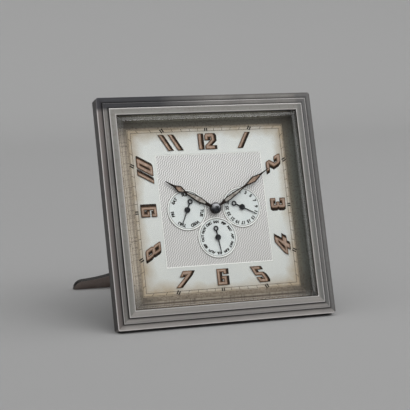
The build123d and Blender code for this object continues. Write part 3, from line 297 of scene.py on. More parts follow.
# Painted shade: a little duller towards the bottom
painted_shade_below = add(tree, "ShaderNodeMix", {
    0: add(tree, "ShaderNodeMapRange", {
        "Value": axes.outputs[1], "From Min": 20.0, "From Max": -40.0, "To Max": 0.35}).outputs[0],
    6: clouded.outputs[2], 7: linear("#a3a39f")}, data_type="RGBA")
wire(tree, shader, {
    "Base Color": add(tree, "ShaderNodeMix", {
        0: yellow.outputs[0], 6: painted_shade_below.outputs[2], 7: linear("#a8957c")}, data_type="RGBA").outputs[2],
    "Roughness": add(tree, "ShaderNodeMapRange", {
        "Value": cloud.outputs["Fac"], "To Min": 0.4, "To Max": 0.55}).outputs[0]})
band_inner = square_half + 0.1
band_outer = border_half - 0.02
band_face = 0.08
band_profile = np.array([
    [band_inner, 0.0], [band_outer, 0.0], [band_outer, band_face], [band_inner, band_face]])
points, faces = swept_square(band_profile, sharp_corner, steps=1)
new_piece("hour_band", points, faces, matt_silver, "case", "silvered_dial")
finish_nodes(matt_silver, "dial_plate")

# Engine turning: wavy cuts, height = low + depth (1 + cos(2 pi (s + b sin(2 pi t / q)) / p)) / 2, with s
# across the slanted cuts and t along them, inside a plain ridge. Cuts are drawn 1.1 mm apart, about twice
# the real pitch, so that they show.
cut_pitch = 1.1
cut_depth = 0.05
ridge_width = 0.3
ridge_height = 0.14
grid_points = 220
wave_length = 2.4
wave_height = 0.3
slant = math.radians(24)
side = np.linspace(-square_half, square_half, grid_points)
x, y = np.meshgrid(side, side, indexing="ij")
along = x * math.sin(slant) + y * math.cos(slant)
over = x * math.cos(slant) - y * math.sin(slant)
phase = 2 * np.pi * (over + wave_height * np.sin(2 * np.pi * along / wave_length)) / cut_pitch
height = silvered_low + cut_depth * (1 + np.cos(phase)) / 2
rim = np.maximum(abs(x), abs(y)) > square_half - ridge_width
top = np.stack([x, y, np.where(rim, ridge_height, height)], -1).reshape(-1, 3)
numbers = np.arange(grid_points ** 2).reshape(grid_points, grid_points)
edge_line = np.concatenate([numbers[0], numbers[1:, -1], numbers[-1, -2::-1], numbers[-2:0:-1, 0]])
skirt = top[edge_line] * [1, 1, 0]
base = grid_points ** 2 + np.arange(len(edge_line))
sides = np.column_stack([edge_line, np.roll(edge_line, -1), np.roll(base, -1), base])
faces = grid_faces(grid_points, grid_points, False, False).tolist() + sides.tolist() + [base.tolist()]
# Silvering over the cuts: bright on their backs and grey in their depths, with painted shade duller towards
# the bottom
engine_turned, tree, shader = new_material("engine_turned_silver", Metallic=0.25, Roughness=0.4)
place = dial_millimetres(tree)
dull = add(tree, "ShaderNodeTexNoise", {"Vector": place, "Scale": 0.12, "Detail": 4.0})
axes = add(tree, "ShaderNodeSeparateXYZ", {0: place})
tone = add(tree, "ShaderNodeMix", {
    0: dull.outputs["Fac"], 6: linear("#eeebec"), 7: linear("#fcf9fa")}, data_type="RGBA").outputs[2]
# The first share is painted shade, duller towards the bottom
for value, start, end, most, colour in (
        (axes.outputs[1], 15.0, -25.0, 0.35, "#b8b5b3"), (axes.outputs[2], 0.08, 0.03, 1.0, "#a7a4a4"),
        (axes.outputs[2], 0.1, 0.13, 1.0, "#e9e9e6")):
    share = add(tree, "ShaderNodeMapRange", {
        "Value": value, "From Min": start, "From Max": end, "To Max": most})
    tone = add(tree, "ShaderNodeMix", {
        0: share.outputs[0], 6: tone, 7: linear(colour)}, data_type="RGBA").outputs[2]
wire(tree, shader, {"Base Color": tone})
new_piece("engine_turned_square", np.vstack([top, skirt]), faces, engine_turned, "case", "silvered_dial",
          crease=80.0)

# Minute track: black printing on the silvered band. Two fine lines run round it with a short tick for
# every minute between them, and a pair of bold strokes stands at every fifth minute.
track_inner = 38.25
track_outer = 39.65
track_line_half = 0.09
track_line_low = 0.07
track_line_high = 0.095
tick_width = 0.2
stroke_width = 0.6
stroke_aside = 0.5
stroke_overhang = 0.15
print_high = 0.10


def bars(starts, ends, widths, low, high):
    """Flat bars between pairs of points: corners p +- w/2 across the line, at two heights, as boxes."""
    run = ends - starts
    aside = np.stack([-run[:, 1], run[:, 0]], -1) / np.linalg.norm(run, axis=1)[:, None]
    aside = aside * widths[:, None] / 2
    flat = np.stack([starts - aside, ends - aside, ends + aside, starts + aside], 1)
    levels = np.stack([np.dstack([flat, np.full(flat.shape[:2], z)]) for z in (low, high)], 1)
    box = np.array([[3, 2, 1, 0], [4, 5, 6, 7], [0, 1, 5, 4], [1, 2, 6, 5], [2, 3, 7, 6], [3, 0, 4, 7]])
    return levels.reshape(-1, 3), (box + 8 * np.arange(len(starts))[:, None, None]).reshape(-1, 4)


def on_square(angle, half):
    """Where the line at a clockwise angle from twelve meets a square: half (sin, cos) / max(|sin|, |cos|)."""
    way = np.stack([np.sin(angle), np.cos(angle)], -1)
    return half * way / abs(way).max(-1, keepdims=True)


# Printing ink: full black in the bold strokes and letters, worn to a thin brown in the fine lines.
# The worn ink also draws the painted shade lines round the sub-dials' rings.
inks = {name: clouded_finish(name, dark, pale, scale=0.7, detail=3.0, Roughness=0.6, Specular_IOR_Level=0.2)
        for name, dark, pale in (
            ("ink_and_ring_shade", "#221c18", "#5a4c40"), ("printing_ink", "#0b0a09", "#2c2621"))}
minutes = np.radians(6 * np.arange(60))
plain = minutes[np.arange(60) % 5 > 0]
ticks = bars(on_square(plain, track_inner), on_square(plain, track_outer), np.full(len(plain), tick_width),
             band_face, print_high)
new_piece("minute_strokes", *ticks, inks["ink_and_ring_shade"], "case", "silvered_dial")
five = np.repeat(minutes[::5], 2)
aside = np.stack([np.cos(five), -np.sin(five)], -1) * np.tile([-stroke_aside, stroke_aside], 12)[:, None]
strokes = bars(on_square(five, track_inner - stroke_overhang) + aside,
               on_square(five, track_outer + stroke_overhang) + aside, np.full(len(five), stroke_width),
               band_face, print_high)
new_piece("five_minute_strokes", *strokes, inks["printing_ink"], "case", "silvered_dial")
for name, half in (("track_line_inner", track_inner), ("track_line_outer", track_outer)):
    line = np.array([[half + side * track_line_half, height] for side, height in (
        (-1, track_line_low), (1, track_line_low), (1, track_line_high), (-1, track_line_high))])
    new_piece(name, *swept_square(line, sharp_corner, steps=1), inks["ink_and_ring_shade"], "case", "silvered_dial")

# Hour numerals: stamped copper digits on black enamelled bodies. The body reaches out to the right of
# every stroke like a drawn shadow, and a fine black line is left round the copper.
numeral_inner = 29.1
numeral_height = 7.9
numeral_thickness = 0.6
digit_width = 6.3
one_width = 3.1
digit_gap = 0.3
one_gap = 1.9
shadow_reach = 1.25
outline_width = 0.14
border_width = 0.5
rim_slope = 0.06
field_slope = 0.05
body_high = 0.46
rim_side = 0.51
rim_high = 0.55
field_side = 0.57
# How far each hour stands off its line from the centre, to the right and up
numeral_shifts = {
    2: (0.0, 1.6), 3: (0.0, 0.4), 4: (0.0, 0.4), 5: (0.8, 0.0), 6: (0.5, 0.0), 7: (0.4, 0.2),
    8: (0.2, 0.0), 9: (0.0, 0.8), 10: (0.2, 1.5), 11: (0.6, 0.0), 12: (0.2, 0.0)}
# Each digit's outline and then its holes, as shares of its width and height. The nine is a turned six.
digit_shares = {
    "0": [[(0.1, 0), (0.9, 0), (1, 0.08), (1, 0.92), (0.9, 1), (0.1, 1), (0, 0.92), (0, 0.08)],
          [(0.45, 0.22), (0.45, 0.78), (0.55, 0.78), (0.55, 0.22)]],
    "1": [[(0, 0), (1, 0), (1, 1), (0, 1)]],
    "2": [[(0, 0), (1, 0), (1, 0.24), (0.5, 0.24), (1, 0.52), (1, 0.86), (0.86, 1), (0.14, 1),
           (0, 0.86), (0, 0.56), (0.36, 0.56), (0.36, 0.74), (0.64, 0.74), (0.64, 0.6), (0, 0.24)]],
    "3": [[(0, 0), (0.86, 0), (1, 0.12), (1, 0.42), (0.9, 0.5), (1, 0.58), (1, 0.88), (0.86, 1),
           (0, 1), (0, 0.64), (0.32, 0.64), (0.32, 0.76), (0.64, 0.76), (0.64, 0.61), (0.36, 0.61),
           (0.36, 0.39), (0.64, 0.39), (0.64, 0.24), (0.32, 0.24), (0.32, 0.36), (0, 0.36)]],
    "4": [[(0.36, 0), (0.9, 0), (0.9, 0.19), (1.35, 0.19), (1.35, 0.5), (0.9, 0.5), (0.9, 1),
           (0.3, 1), (-0.3, 0.42), (-0.3, 0.19), (0.36, 0.19)],
          [(0.16, 0.4), (0.5, 0.72), (0.58, 0.72), (0.36, 0.4)]],
    "5": [[(0, 0), (0.84, 0), (1, 0.16), (1, 0.5), (0.84, 0.64), (0.36, 0.64), (0.36, 0.78),
           (0.95, 0.78), (0.95, 1), (0, 1), (0, 0.43), (0.64, 0.43), (0.64, 0.22), (0.34, 0.22),
           (0.34, 0.33), (0, 0.33)]],
    "6": [[(0, 0), (1, 0), (1, 0.56), (0.44, 0.56), (0.44, 0.36), (0.66, 0.36), (0.66, 0.22),
           (0.34, 0.22), (0.34, 0.78), (0.66, 0.78), (0.66, 0.66), (1, 0.66), (1, 1), (0, 1)]],
    "7": [[(0.1, 0), (0.54, 0), (1, 0.74), (1, 1), (0, 1), (0, 0.62), (0.3, 0.62), (0.3, 0.73),
           (0.56, 0.73)]],
    "8": [[(0.08, 0), (0.92, 0), (1, 0.08), (1, 0.42), (0.88, 0.52), (0.96, 0.6), (0.96, 0.92),
           (0.88, 1), (0.12, 1), (0.04, 0.92), (0.04, 0.6), (0.12, 0.52), (0, 0.42), (0, 0.08)],
          [(0.36, 0.2), (0.36, 0.4), (0.64, 0.4), (0.64, 0.2)],
          [(0.38, 0.64), (0.38, 0.82), (0.62, 0.82), (0.62, 0.64)]],
}
digit_shares["9"] = [[(1 - across, 1 - up) for across, up in digit_shares["6"][0]]]


def inset(loop, distance):
    """Outline moved to its left: each corner p goes to p + d (n1 + n2) / (1 + n1 . n2)."""
    behind = loop - np.roll(loop, 1, 0)
    ahead = np.roll(loop, -1, 0) - loop
    n1 = np.stack([-behind[:, 1], behind[:, 0]], -1) / np.linalg.norm(behind, axis=1)[:, None]
    n2 = np.stack([-ahead[:, 1], ahead[:, 0]], -1) / np.linalg.norm(ahead, axis=1)[:, None]
    return loop + distance * (n1 + n2) / (1 + (n1 * n2).sum(1))[:, None]


def stacked(levels):
    """Closed surface through like outlines at rising heights, (loops, z) each: the k-th side is a grid of
    level by corner, and the lowest and the highest outline are filled. Loops after the first are holes."""
    points, faces, tops, start = [], [], [[], []], 0
    for k in range(len(levels[0][0])):
        rows = np.array([np.column_stack([loops[k], np.full(len(loops[k]), z)]) for loops, z in levels])
        faces += (grid_faces(*rows.shape[:2], False, True) + start).tolist()
        tops[0] += (start + np.arange(rows.shape[1])).tolist()
        tops[1] += (start + (rows.shape[0] - 1) * rows.shape[1] + np.arange(rows.shape[1])).tolist()
        points.append(rows.reshape(-1, 3))
        start += len(points[-1])
    for (loops, _), numbers in zip((levels[0], levels[-1]), tops):
        filled = tessellate_polygon([[Vector((*corner, 0)) for corner in loop] for loop in loops])
        faces += [[numbers[i] for i in triangle] for triangle in filled]
    return np.vstack(points), faces


def joined(parts):
    """Several (points, faces) pairs as one."""
    starts = np.cumsum([0] + [len(points) for points, _ in parts[:-1]])
    faces = [[int(i + start) for i in face]
             for (_, part_faces), start in zip(parts, starts) for face in part_faces]
    return np.vstack([points for points, _ in parts]), faces


def set_hour(hour, loop):
    """Digit's (across, up) in mm set on the square of hours: strokes follow the line from the centre, the
    hours from four to eight stand on their outer side, and each is moved by its own (right, up) shift."""
    quarter = round(hour / 3)
    lean = math.tan(math.radians(30 * hour - 90 * quarter))
    outward = np.array(((0, 1), (1, 0), (0, -1), (-1, 0))[quarter % 4])
    along = np.array((outward[1], -outward[0]))
    turned = hour in (4, 5, 6, 7, 8)
    out = numeral_inner + (numeral_height - loop[:, 1:] if turned else loop[:, 1:])
    shift = out * lean + (-loop[:, :1] if turned else loop[:, :1])
    return outward * out + along * shift + np.array(numeral_shifts.get(hour, (0.0, 0.0)))


bodies, borders, fields = [], [], []
for hour in range(1, 13):
    gap = one_gap if hour == 11 else digit_gap
    widths = [one_width if digit == "1" else digit_width for digit in str(hour)]
    left = -(sum(widths) + gap * (len(widths) - 1)) / 2
    for digit, width in zip(str(hour), widths):
        size = np.array([width - shadow_reach, numeral_height])
        loops = [np.array(loop) * size + [left, 0] for loop in digit_shares[digit]]
        rings = [[set_hour(hour, inset(loop, step)) for loop in loops]
                 for step in (0, outline_width, outline_width + rim_slope, border_width,
                              border_width + field_slope)]
        foot = [set_hour(hour, loop + [shadow_reach, 0]) for loop in loops]
        bodies.append(stacked([(foot, band_face), (rings[0], body_high)]))
        borders.append(stacked([(rings[1], body_high), (rings[1], rim_side), (rings[2], rim_high)]))
        fields.append(stacked([(rings[3], rim_high), (rings[3], field_side), (rings[4], numeral_thickness)]))
        left += width + gap
# Black enamel, baked on and gone a little brown: dull, so that the bodies read as drawn shadows
black_enamel = clouded_finish(
    "black_enamel", "#120a06", "#35261b", scale=0.9, detail=4.0, Roughness=0.5, Specular_IOR_Level=0.1)
piece = new_piece("numeral_bodies", *joined(bodies), black_enamel, "case", "copper")
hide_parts("hour_numerals")
# Copper, stamped and gone dull: brown along the rim, and rubbed to a paler pink on the raised field
for name, parts, dark, pale in (("stained_copper", borders, "#654c3a", "#99765b"),
                                ("rubbed_copper", fields, "#9b8375", "#c2a898")):
    copper, tree, shader = new_material(name, Metallic=0.55)
    stain = add(tree, "ShaderNodeTexNoise", {
        "Vector": dial_millimetres(tree), "Scale": 0.45, "Detail": 5.0, "Roughness": 0.65})
    wire(tree, shader, {
        "Base Color": add(tree, "ShaderNodeMix", {
            0: add(tree, "ShaderNodeMapRange", {
                "Value": stain.outputs["Fac"], "From Min": 0.3, "From Max": 0.7}).outputs[0],
            6: linear(dark), 7: linear(pale)}, data_type="RGBA").outputs[2],
        "Roughness": add(tree, "ShaderNodeMapRange", {
            "Value": stain.outputs["Fac"], "To Min": 0.38, "To Max": 0.55}).outputs[0]})
    new_piece("numerals_in_" + name, *joined(parts), copper, "case", "copper", crease=20.0)

# Sub-dials: three white enamelled discs in polished rings, let on to the engine turning. Their words are
# printed in black: the days, the dates and the months, in plain capitals and numbers.
subdial_radius = 9.15
subdial_offset = 14.0
ring_width = 0.7
disc_face = 0.25
print_rise = 0.012
letter_weight = 0.13
# White enamel, fired smooth: a cool white with faint clouds and a soft shine
white_enamel = clouded_finish(
    "white_enamel", "#c9ced0", "#dee0e0", scale=0.22, detail=3.0, Roughness=0.28)
finish_nodes(white_enamel, "subdial_discs")
# Polished silver: nearly white, with small rubbed patches
polished_silver = clouded_finish(
    "polished_silver", "#f0f0ef", "#fdfdfd", scale=1.2, detail=3.0, rough=(0.12, 0.28), Metallic=0.1)
finish_nodes(polished_silver, "subdial_rings")


def label(words, size, radius, angle, centre):
    """Printed word standing on a circle: its bold flat letters turned clockwise to the angle from twelve."""
    curve = bpy.data.curves.new("label", "FONT")
    curve.body = words
    curve.size = size
    curve.offset = letter_weight
    curve.align_x = "CENTER"
    curve.align_y = "CENTER"
    writing = bpy.data.objects.new("label", curve)
    bpy.context.scene.collection.objects.link(writing)
    flat = bpy.data.meshes.new_from_object(writing)
    corners = np.empty(3 * len(flat.vertices))
    flat.vertices.foreach_get("co", corners)
    faces = [list(polygon.vertices) for polygon in flat.polygons]
    bpy.data.objects.remove(writing)
    bpy.data.meshes.remove(flat)
    corners = corners.reshape(-1, 3)
    turn = math.radians(angle)
    x, y = corners[:, 0], corners[:, 1] + radius
    placed = [centre[0] + x * math.cos(turn) + y * math.sin(turn),
              centre[1] - x * math.sin(turn) + y * math.cos(turn), np.full(len(x), disc_face + print_rise)]
    return np.column_stack(placed), faces


days = ["SUN", "MON", "TUE", "WED", "THU", "FRI", "SAT"]
months = ["JAN", "FEB", "MAR", "APR", "MAY", "JUN", "JUL", "AUG", "SEP", "OCT", "NOV", "DEC"]
dates = [str(date) for date in range(1, 32, 2)]
day_centre = (-subdial_offset, 0)
date_centre = (subdial_offset, 0)
month_centre = (0, -subdial_offset)
labels = []
for words, size, radius, centre in (
        (days, 2.0, 7.4, day_centre), (dates, 2.1, 7.5, date_centre), (months, 1.6, 7.5, month_centre)):
    labels += [label(word, size, radius, 360 * k / len(words), centre) for k, word in enumerate(words)]
new_piece("calendar_print", *joined(labels), inks["printing_ink"], "case", "white_enamel")


def circle_line(centre, radius, width, low, high, steps=72):
    """Flat ring: (radius +- width/2) (cos t, sin t) about a centre, at two heights, as a closed grid."""
    turn = np.linspace(0, 2 * np.pi, steps, endpoint=False)
    way = np.stack([np.cos(turn), np.sin(turn)], -1)
    rows = [np.column_stack([centre + (radius + side * width / 2) * way, np.full(steps, z)])
            for side, z in ((-1, low), (1, low), (1, high), (-1, high))]
    return np.vstack(rows), grid_faces(4, steps, True, True)


# Painted shade: a fine dark line inside each ring, on the disc, and one outside it, on the engine turning
ring_line_width = 0.2
inner_line = subdial_radius - 0.12
outer_line = subdial_radius + ring_width + 0.08
lines = [circle_line(np.array(centre), radius, ring_line_width, low, high)
         for radius, low, high in ((inner_line, disc_face, 0.27), (outer_line, 0.1, 0.15))
         for centre in (day_centre, date_centre, month_centre)]
new_piece("ring_shade_marks", *joined(lines), inks["ink_and_ring_shade"], "case", "white_enamel")

# Calendar hands: steel pointers with an open ring at the tail, punched from sheet and pressed on the pipes
# of the three stars. They are heated and oiled black, with a dull shine where they are rubbed.
blackened_steel = clouded_finish(
    "blackened_steel", "#151517", "#34343a", scale=1.5, detail=3.0, Metallic=0.6, Roughness=0.4)
finish_nodes(blackened_steel, "day_hand", "date_hand", "month_hand")

# Main hands: bronzed brass plates with a leaf and a lozenge let into each in rubbed bronze, so that a dark
# line is left all round. The minute hand lies over the hour hand, and a polished ball closes them.
inlay_margin = 0.52
inlay_slope = 0.08
inlay_sink = 0.02
inlay_side = 0.06
inlay_high = 0.12
# Right half of each leaf and lozenge, as shares of the hand's length and of half its breadth
hour_shares = [(0.18, 0.50), (0.32, 0.86), (0.46, 0.66), (0.58, 0.34)]
hour_lozenge_shares = [(0.62, 0.40), (0.71, 1.0), (0.81, 0.42)]
minute_shares = [(0.16, 0.62), (0.24, 0.80), (0.38, 0.62), (0.54, 0.30)]
minute_lozenge_shares = [(0.58, 0.36), (0.72, 1.0), (0.84, 0.36)]
# Bronzed brass: nearly black, brown where it is rubbed
bronzed = clouded_finish(
    "bronzed_brass", "#150f0c", "#33251d", scale=0.8, detail=3.0, Metallic=0.8, Roughness=0.4)
finish_nodes(bronzed, "hour_hand", "minute_hand")
# Rubbed bronze of the inlay: worn to a pale grey in the leaves near the centre, brown in the lozenges
rubbed_bronze, tree, shader = new_material("rubbed_bronze", Metallic=0.5, Roughness=0.45)
place = dial_millimetres(tree)
rub = add(tree, "ShaderNodeTexNoise", {"Vector": place, "Scale": 0.6, "Detail": 3.0})
patchy = add(tree, "ShaderNodeMapRange", {"Value": rub.outputs["Fac"], "From Min": 0.35, "From Max": 0.65})
leaf = add(tree, "ShaderNodeMix", {
    0: patchy.outputs[0], 6: linear("#857b73"), 7: linear("#c4bfb9")}, data_type="RGBA")
lozenge = add(tree, "ShaderNodeMix", {
    0: patchy.outputs[0], 6: linear("#695347"), 7: linear("#ae9381")}, data_type="RGBA")
from_centre = add(tree, "ShaderNodeVectorMath", {0: place}, operation="LENGTH")
wire(tree, shader, {"Base Color": add(tree, "ShaderNodeMix", {
    0: add(tree, "ShaderNodeMapRange", {
        "Value": from_centre.outputs["Value"], "From Min": 16.0, "From Max": 20.0}).outputs[0],
    6: leaf.outputs[2], 7: lozenge.outputs[2]}, data_type="RGBA").outputs[2]})
for name, body, length, breadth, angle, low, leaf_shares in (
        ("hour_hand_inlay", "hour", 27.6, 3.4, 301.0, 1.35, (hour_shares, hour_lozenge_shares)),
        ("minute_hand_inlay", "minute", 34.3, 3.1, 58.4, 2.6, (minute_shares, minute_lozenge_shares))):
    inlays = []
    turn = math.radians(angle)
    spin = np.array([[math.cos(turn), -math.sin(turn)], [math.sin(turn), math.cos(turn)]])
    for shares in leaf_shares:
        right = np.array([(breadth / 2 * wide, length * up) for up, wide in shares])
        loop = np.vstack([right, (right * [-1, 1])[::-1]])
        edge = inset(loop, inlay_margin) @ spin
        crown = inset(loop, inlay_margin + inlay_slope) @ spin
        inlays.append(stacked([
            ([edge], low - inlay_sink), ([edge], low + inlay_side), ([crown], low + inlay_high)]))
    new_piece(name, *joined(inlays), rubbed_bronze, body, "bronzed_hand", crease=20.0)

# Cap: a steel ball, turned with its stem and pushed on the end of the centre arbor to hold the hands.
# It is polished like a mirror, with a painted highlight on its upper half and painted shade below.
dark_mirror, tree, shader = new_material("mirror_polished_steel", Metallic=1.0)
place = dial_millimetres(tree)
rub = add(tree, "ShaderNodeTexNoise", {"Vector": place, "Scale": 1.2, "Detail": 3.0})
# Painted highlight on the upper half, painted shade below
painted_highlight_share = add(tree, "ShaderNodeMapRange", {
    "Value": add(tree, "ShaderNodeSeparateXYZ", {0: place}).outputs[1], "From Min": -0.7, "From Max": 0.9})
wire(tree, shader, {
    "Base Color": add(tree, "ShaderNodeMix", {
        0: painted_highlight_share.outputs[0], 6: linear("#343438"), 7: linear("#9c9ca0")}, data_type="RGBA").outputs[2],
    "Roughness": add(tree, "ShaderNodeMapRange", {
        "Value": rub.outputs["Fac"], "To Min": 0.05, "To Max": 0.12}).outputs[0]})
finish_nodes(dark_mirror, "hand_cap")

# Wall between the dial and the glass: brass strip folded square and soldered at a corner. Its front edge
# presses the glass against the frame. Its gilding has browned, dark and patchy, and painted light makes it
# paler along the top.
brown_gilt, tree, shader = new_material("browned_gilding", Metallic=0.7, Roughness=0.5)
place = dial_millimetres(tree)
patch = add(tree, "ShaderNodeTexNoise", {"Vector": place, "Scale": 0.15, "Detail": 5.0, "Roughness": 0.65})
browned = add(tree, "ShaderNodeMix", {
    0: patch.outputs["Fac"], 6: linear("#252625"), 7: linear("#454641")}, data_type="RGBA")
# Painted light: paler along the top
wire(tree, shader, {"Base Color": add(tree, "ShaderNodeMix", {
    0: add(tree, "ShaderNodeMapRange", {
        "Value": add(tree, "ShaderNodeSeparateXYZ", {0: place}).outputs[1],
        "From Min": 43.0, "From Max": 44.0, "To Max": 0.75}).outputs[0],
    6: browned.outputs[2], 7: linear("#8a8477")}, data_type="RGBA").outputs[2]})
finish_nodes(brown_gilt, "glass_retainer")

# Glass: thick plate, cut square, with a ground and polished bevel all round. Its rim is held between the
# frame's lip and the wall behind it. The profile is its half-width and height from the rim to the face.
glass_profile = [
    (47.2, 4.6), (47.4, 4.8), (47.4, 5.9), (47.3, 6.0), (45.95, 6.0), (45.9, 6.04), (44.25, 7.24),
    (44.1, 7.31), (43.3, 7.46), (43.1, 7.49), (42.9, 7.5)]
glass_corner = 0.3
corner_steps = 2
points, faces = stacked([
    ([rounded_square(half, glass_corner, corner_steps)], height) for half, height in glass_profile])
# Polished plate glass: clear, with sharp reflections. Shadow and diffuse rays pass straight through it, so
# that the dial behind is lit as evenly as behind a real pane.
polished_glass, tree, shader = new_material(
    "bevelled_plate_glass", Roughness=0.0, IOR=1.5, Transmission_Weight=1.0, Base_Color=linear("#fdfefd"))
path = add(tree, "ShaderNodeLightPath", {})
through = add(tree, "ShaderNodeMath", {
    0: path.outputs["Is Shadow Ray"], 1: path.outputs["Is Diffuse Ray"]}, operation="MAXIMUM")
mixed = add(tree, "ShaderNodeMixShader", {
    0: through.outputs[0], 1: shader.outputs[0],
    2: add(tree, "ShaderNodeBsdfTransparent", {"Color": linear("#fdfefd")}).outputs[0]})
wire(tree, tree.nodes["Material Output"], {"Surface": mixed.outputs[0]})
piece = new_piece("bevelled_glass", points, faces, polished_glass, "case", "bevelled_glass", crease=12.0)
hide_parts("glass")
# Ground edge of the glass: left rough by the stone, and dark grey with painted shade where it meets the frame
ground_edge = clouded_finish(
    "ground_glass_edge", "#2b2a28", "#55514b", scale=0.6, detail=3.0, Roughness=0.7)
piece.data.materials.append(ground_edge)
edge_rows = 4
ground = np.arange(len(piece.data.polygons)) < edge_rows * 4 * (corner_steps + 1)
piece.data.polygons.foreach_set("material_index", ground.astype(np.int32))

# Frame: one piece of silver, milled in three flat steps that rise to the glass and meet in mitres.
# The steps' edges are rubbed bright by polishing, with a painted highlight, and tarnish and painted shade
# darken their inner corners.
frame_half = 55.0
outer_half = 52.1
middle_half = 49.4
opening_half = 46.2
pocket_half = 48.5
frame_back = -0.8
outer_face = 5.7
middle_face = 6.3
inner_face = 7.2
lip_back = 6.0
frame_corner = 1.2
step_edges = np.array([
    [frame_half, frame_back], [frame_half, outer_face], [outer_half, outer_face], [outer_half, middle_face],
    [middle_half, middle_face], [middle_half, inner_face], [opening_half, inner_face],
    [opening_half, lip_back], [pocket_half, lip_back], [pocket_half, frame_back]])
edge_radii = np.array([0.2, 0.18, 0.1, 0.18, 0.1, 0.18, 0.18, 0.1, 0.1, 0.2])
# Edges with wear and a painted highlight, corners with tarnish and painted shade
worn_and_lit_edges = step_edges[[1, 3, 5, 6]]
dark_corners = step_edges[[0, 2, 4, 7, 8]]


def rounded_profile(corners, radii, steps):
    """Closed profile with each corner rounded by a Bezier curve: (1 - t)^2 (p + r a) + 2 t (1 - t) p
    + t^2 (p + r b), with a and b the ways to the corners before and after."""
    a = np.roll(corners, 1, 0) - corners
    b = np.roll(corners, -1, 0) - corners
    a = corners + a / np.linalg.norm(a, axis=1)[:, None] * radii[:, None]
    b = corners + b / np.linalg.norm(b, axis=1)[:, None] * radii[:, None]
    t = np.linspace(0, 1, steps)[None, :, None]
    curves = (1 - t) ** 2 * a[:, None] + 2 * t * (1 - t) * corners[:, None] + t ** 2 * b[:, None]
    return curves.reshape(-1, 2)


def evenly_spaced(outline, spacing):
    """Closed outline sampled again at even steps of the run along it."""
    closed = np.vstack([outline, outline[:1]])
    run = np.concatenate([[0], np.cumsum(np.linalg.norm(np.diff(closed, axis=0), axis=1))])
    at = np.linspace(0, run[-1], int(run[-1] / spacing), endpoint=False)
    return np.column_stack([np.interp(at, run, closed[:, k]) for k in (0, 1)])


profile = evenly_spaced(rounded_profile(step_edges, edge_radii, steps=7), spacing=0.12)
points, faces = swept_square(profile, frame_corner, steps=5)
# Tarnished silver: grey with rosy patches, brown from handling on the left, cooler and darker on the right
# with painted shade, and paler as far as the mitres below with painted light. The steps' edges are rubbed
# bright, with a painted highlight. Painted shade darkens the outer edge at the top and the right, the top
# goes blue black from the left with tarnish and painted shade, and painted shade darkens the sides.
tarnished_silver, tree, shader = new_material("tarnished_silver", Metallic=0.8)
place = dial_millimetres(tree)
axes = add(tree, "ShaderNodeSeparateXYZ", {0: place})
bloom = add(tree, "ShaderNodeTexNoise", {"Vector": place, "Scale": 0.05, "Detail": 5.0, "Roughness": 0.6})
mottle = add(tree, "ShaderNodeTexNoise", {"Vector": place, "Scale": 0.5, "Detail": 4.0, "Roughness": 0.6})
reach = add(tree, "ShaderNodeMath", {
    0: add(tree, "ShaderNodeMath", {0: axes.outputs[0]}, operation="ABSOLUTE").outputs[0],
    1: add(tree, "ShaderNodeMath", {0: axes.outputs[1]}, operation="ABSOLUTE").outputs[0]},
    operation="MAXIMUM")
off_bottom = add(tree, "ShaderNodeMath", {0: axes.outputs[1], 1: reach.outputs[0]}, operation="ADD")
up_or_right = add(tree, "ShaderNodeMath", {0: axes.outputs[0], 1: axes.outputs[1]}, operation="MAXIMUM")
share = {name: add(tree, "ShaderNodeAttribute", {}, attribute_name=name).outputs["Fac"]
         for name in ("wear", "grime")}
for name, value, start, end, most in (
        ("bloom", bloom.outputs["Fac"], 0.35, 0.65, 1.0),
        ("handled", axes.outputs[0], -51.0, -52.5, 0.8),
        ("outer_steps", reach.outputs[0], middle_half - 0.1, middle_half + 0.1, 1.0),
        ("rosy", mottle.outputs["Fac"], 0.5, 0.75, 0.45),
        ("cool", axes.outputs[0], 46.3, 48.0, 0.3),
        ("to_mitre", off_bottom.outputs[0], 0.3, 0.0, 0.4),
        ("below", axes.outputs[1], -46.3, -47.5, 1.0),
        ("dusty", up_or_right.outputs[0], 54.0, 54.7, 0.85),
        ("upper", axes.outputs[1], 48.0, 50.0, 0.85),
        ("leftwards", axes.outputs[0], 2.0, -24.0, 1.0),
        ("rim", reach.outputs[0], frame_half - 0.12, frame_half - 0.02, 0.85),
        ("in_front", axes.outputs[2], -1.6, -0.9, 1.0)):
    share[name] = add(tree, "ShaderNodeMapRange", {
        "Value": value, "From Min": start, "From Max": end, "To Max": most}).outputs[0]
for name, first, second in (
        ("wiped", "to_mitre", "below"), ("upper_left", "upper", "leftwards"),
        ("sulphide", "upper_left", "outer_steps"), ("outer_side", "rim", "in_front")):
    share[name] = add(tree, "ShaderNodeMath", {
        0: share[first], 1: share[second]}, operation="MULTIPLY").outputs[0]
tones = {"inner": linear("#93918c"), "outer": linear("#868482")}
for where, factor, colour in (
        ("inner", bloom.outputs["Fac"], "#abaaa5"), ("outer", share["bloom"], "#9c9a96"),
        ("outer", share["handled"], "#7b7371")):
    tones[where] = add(tree, "ShaderNodeMix", {
        0: factor, 6: tones[where], 7: linear(colour)}, data_type="RGBA").outputs[2]
tone = add(tree, "ShaderNodeMix", {
    0: share["outer_steps"], 6: tones["inner"], 7: tones["outer"]}, data_type="RGBA").outputs[2]
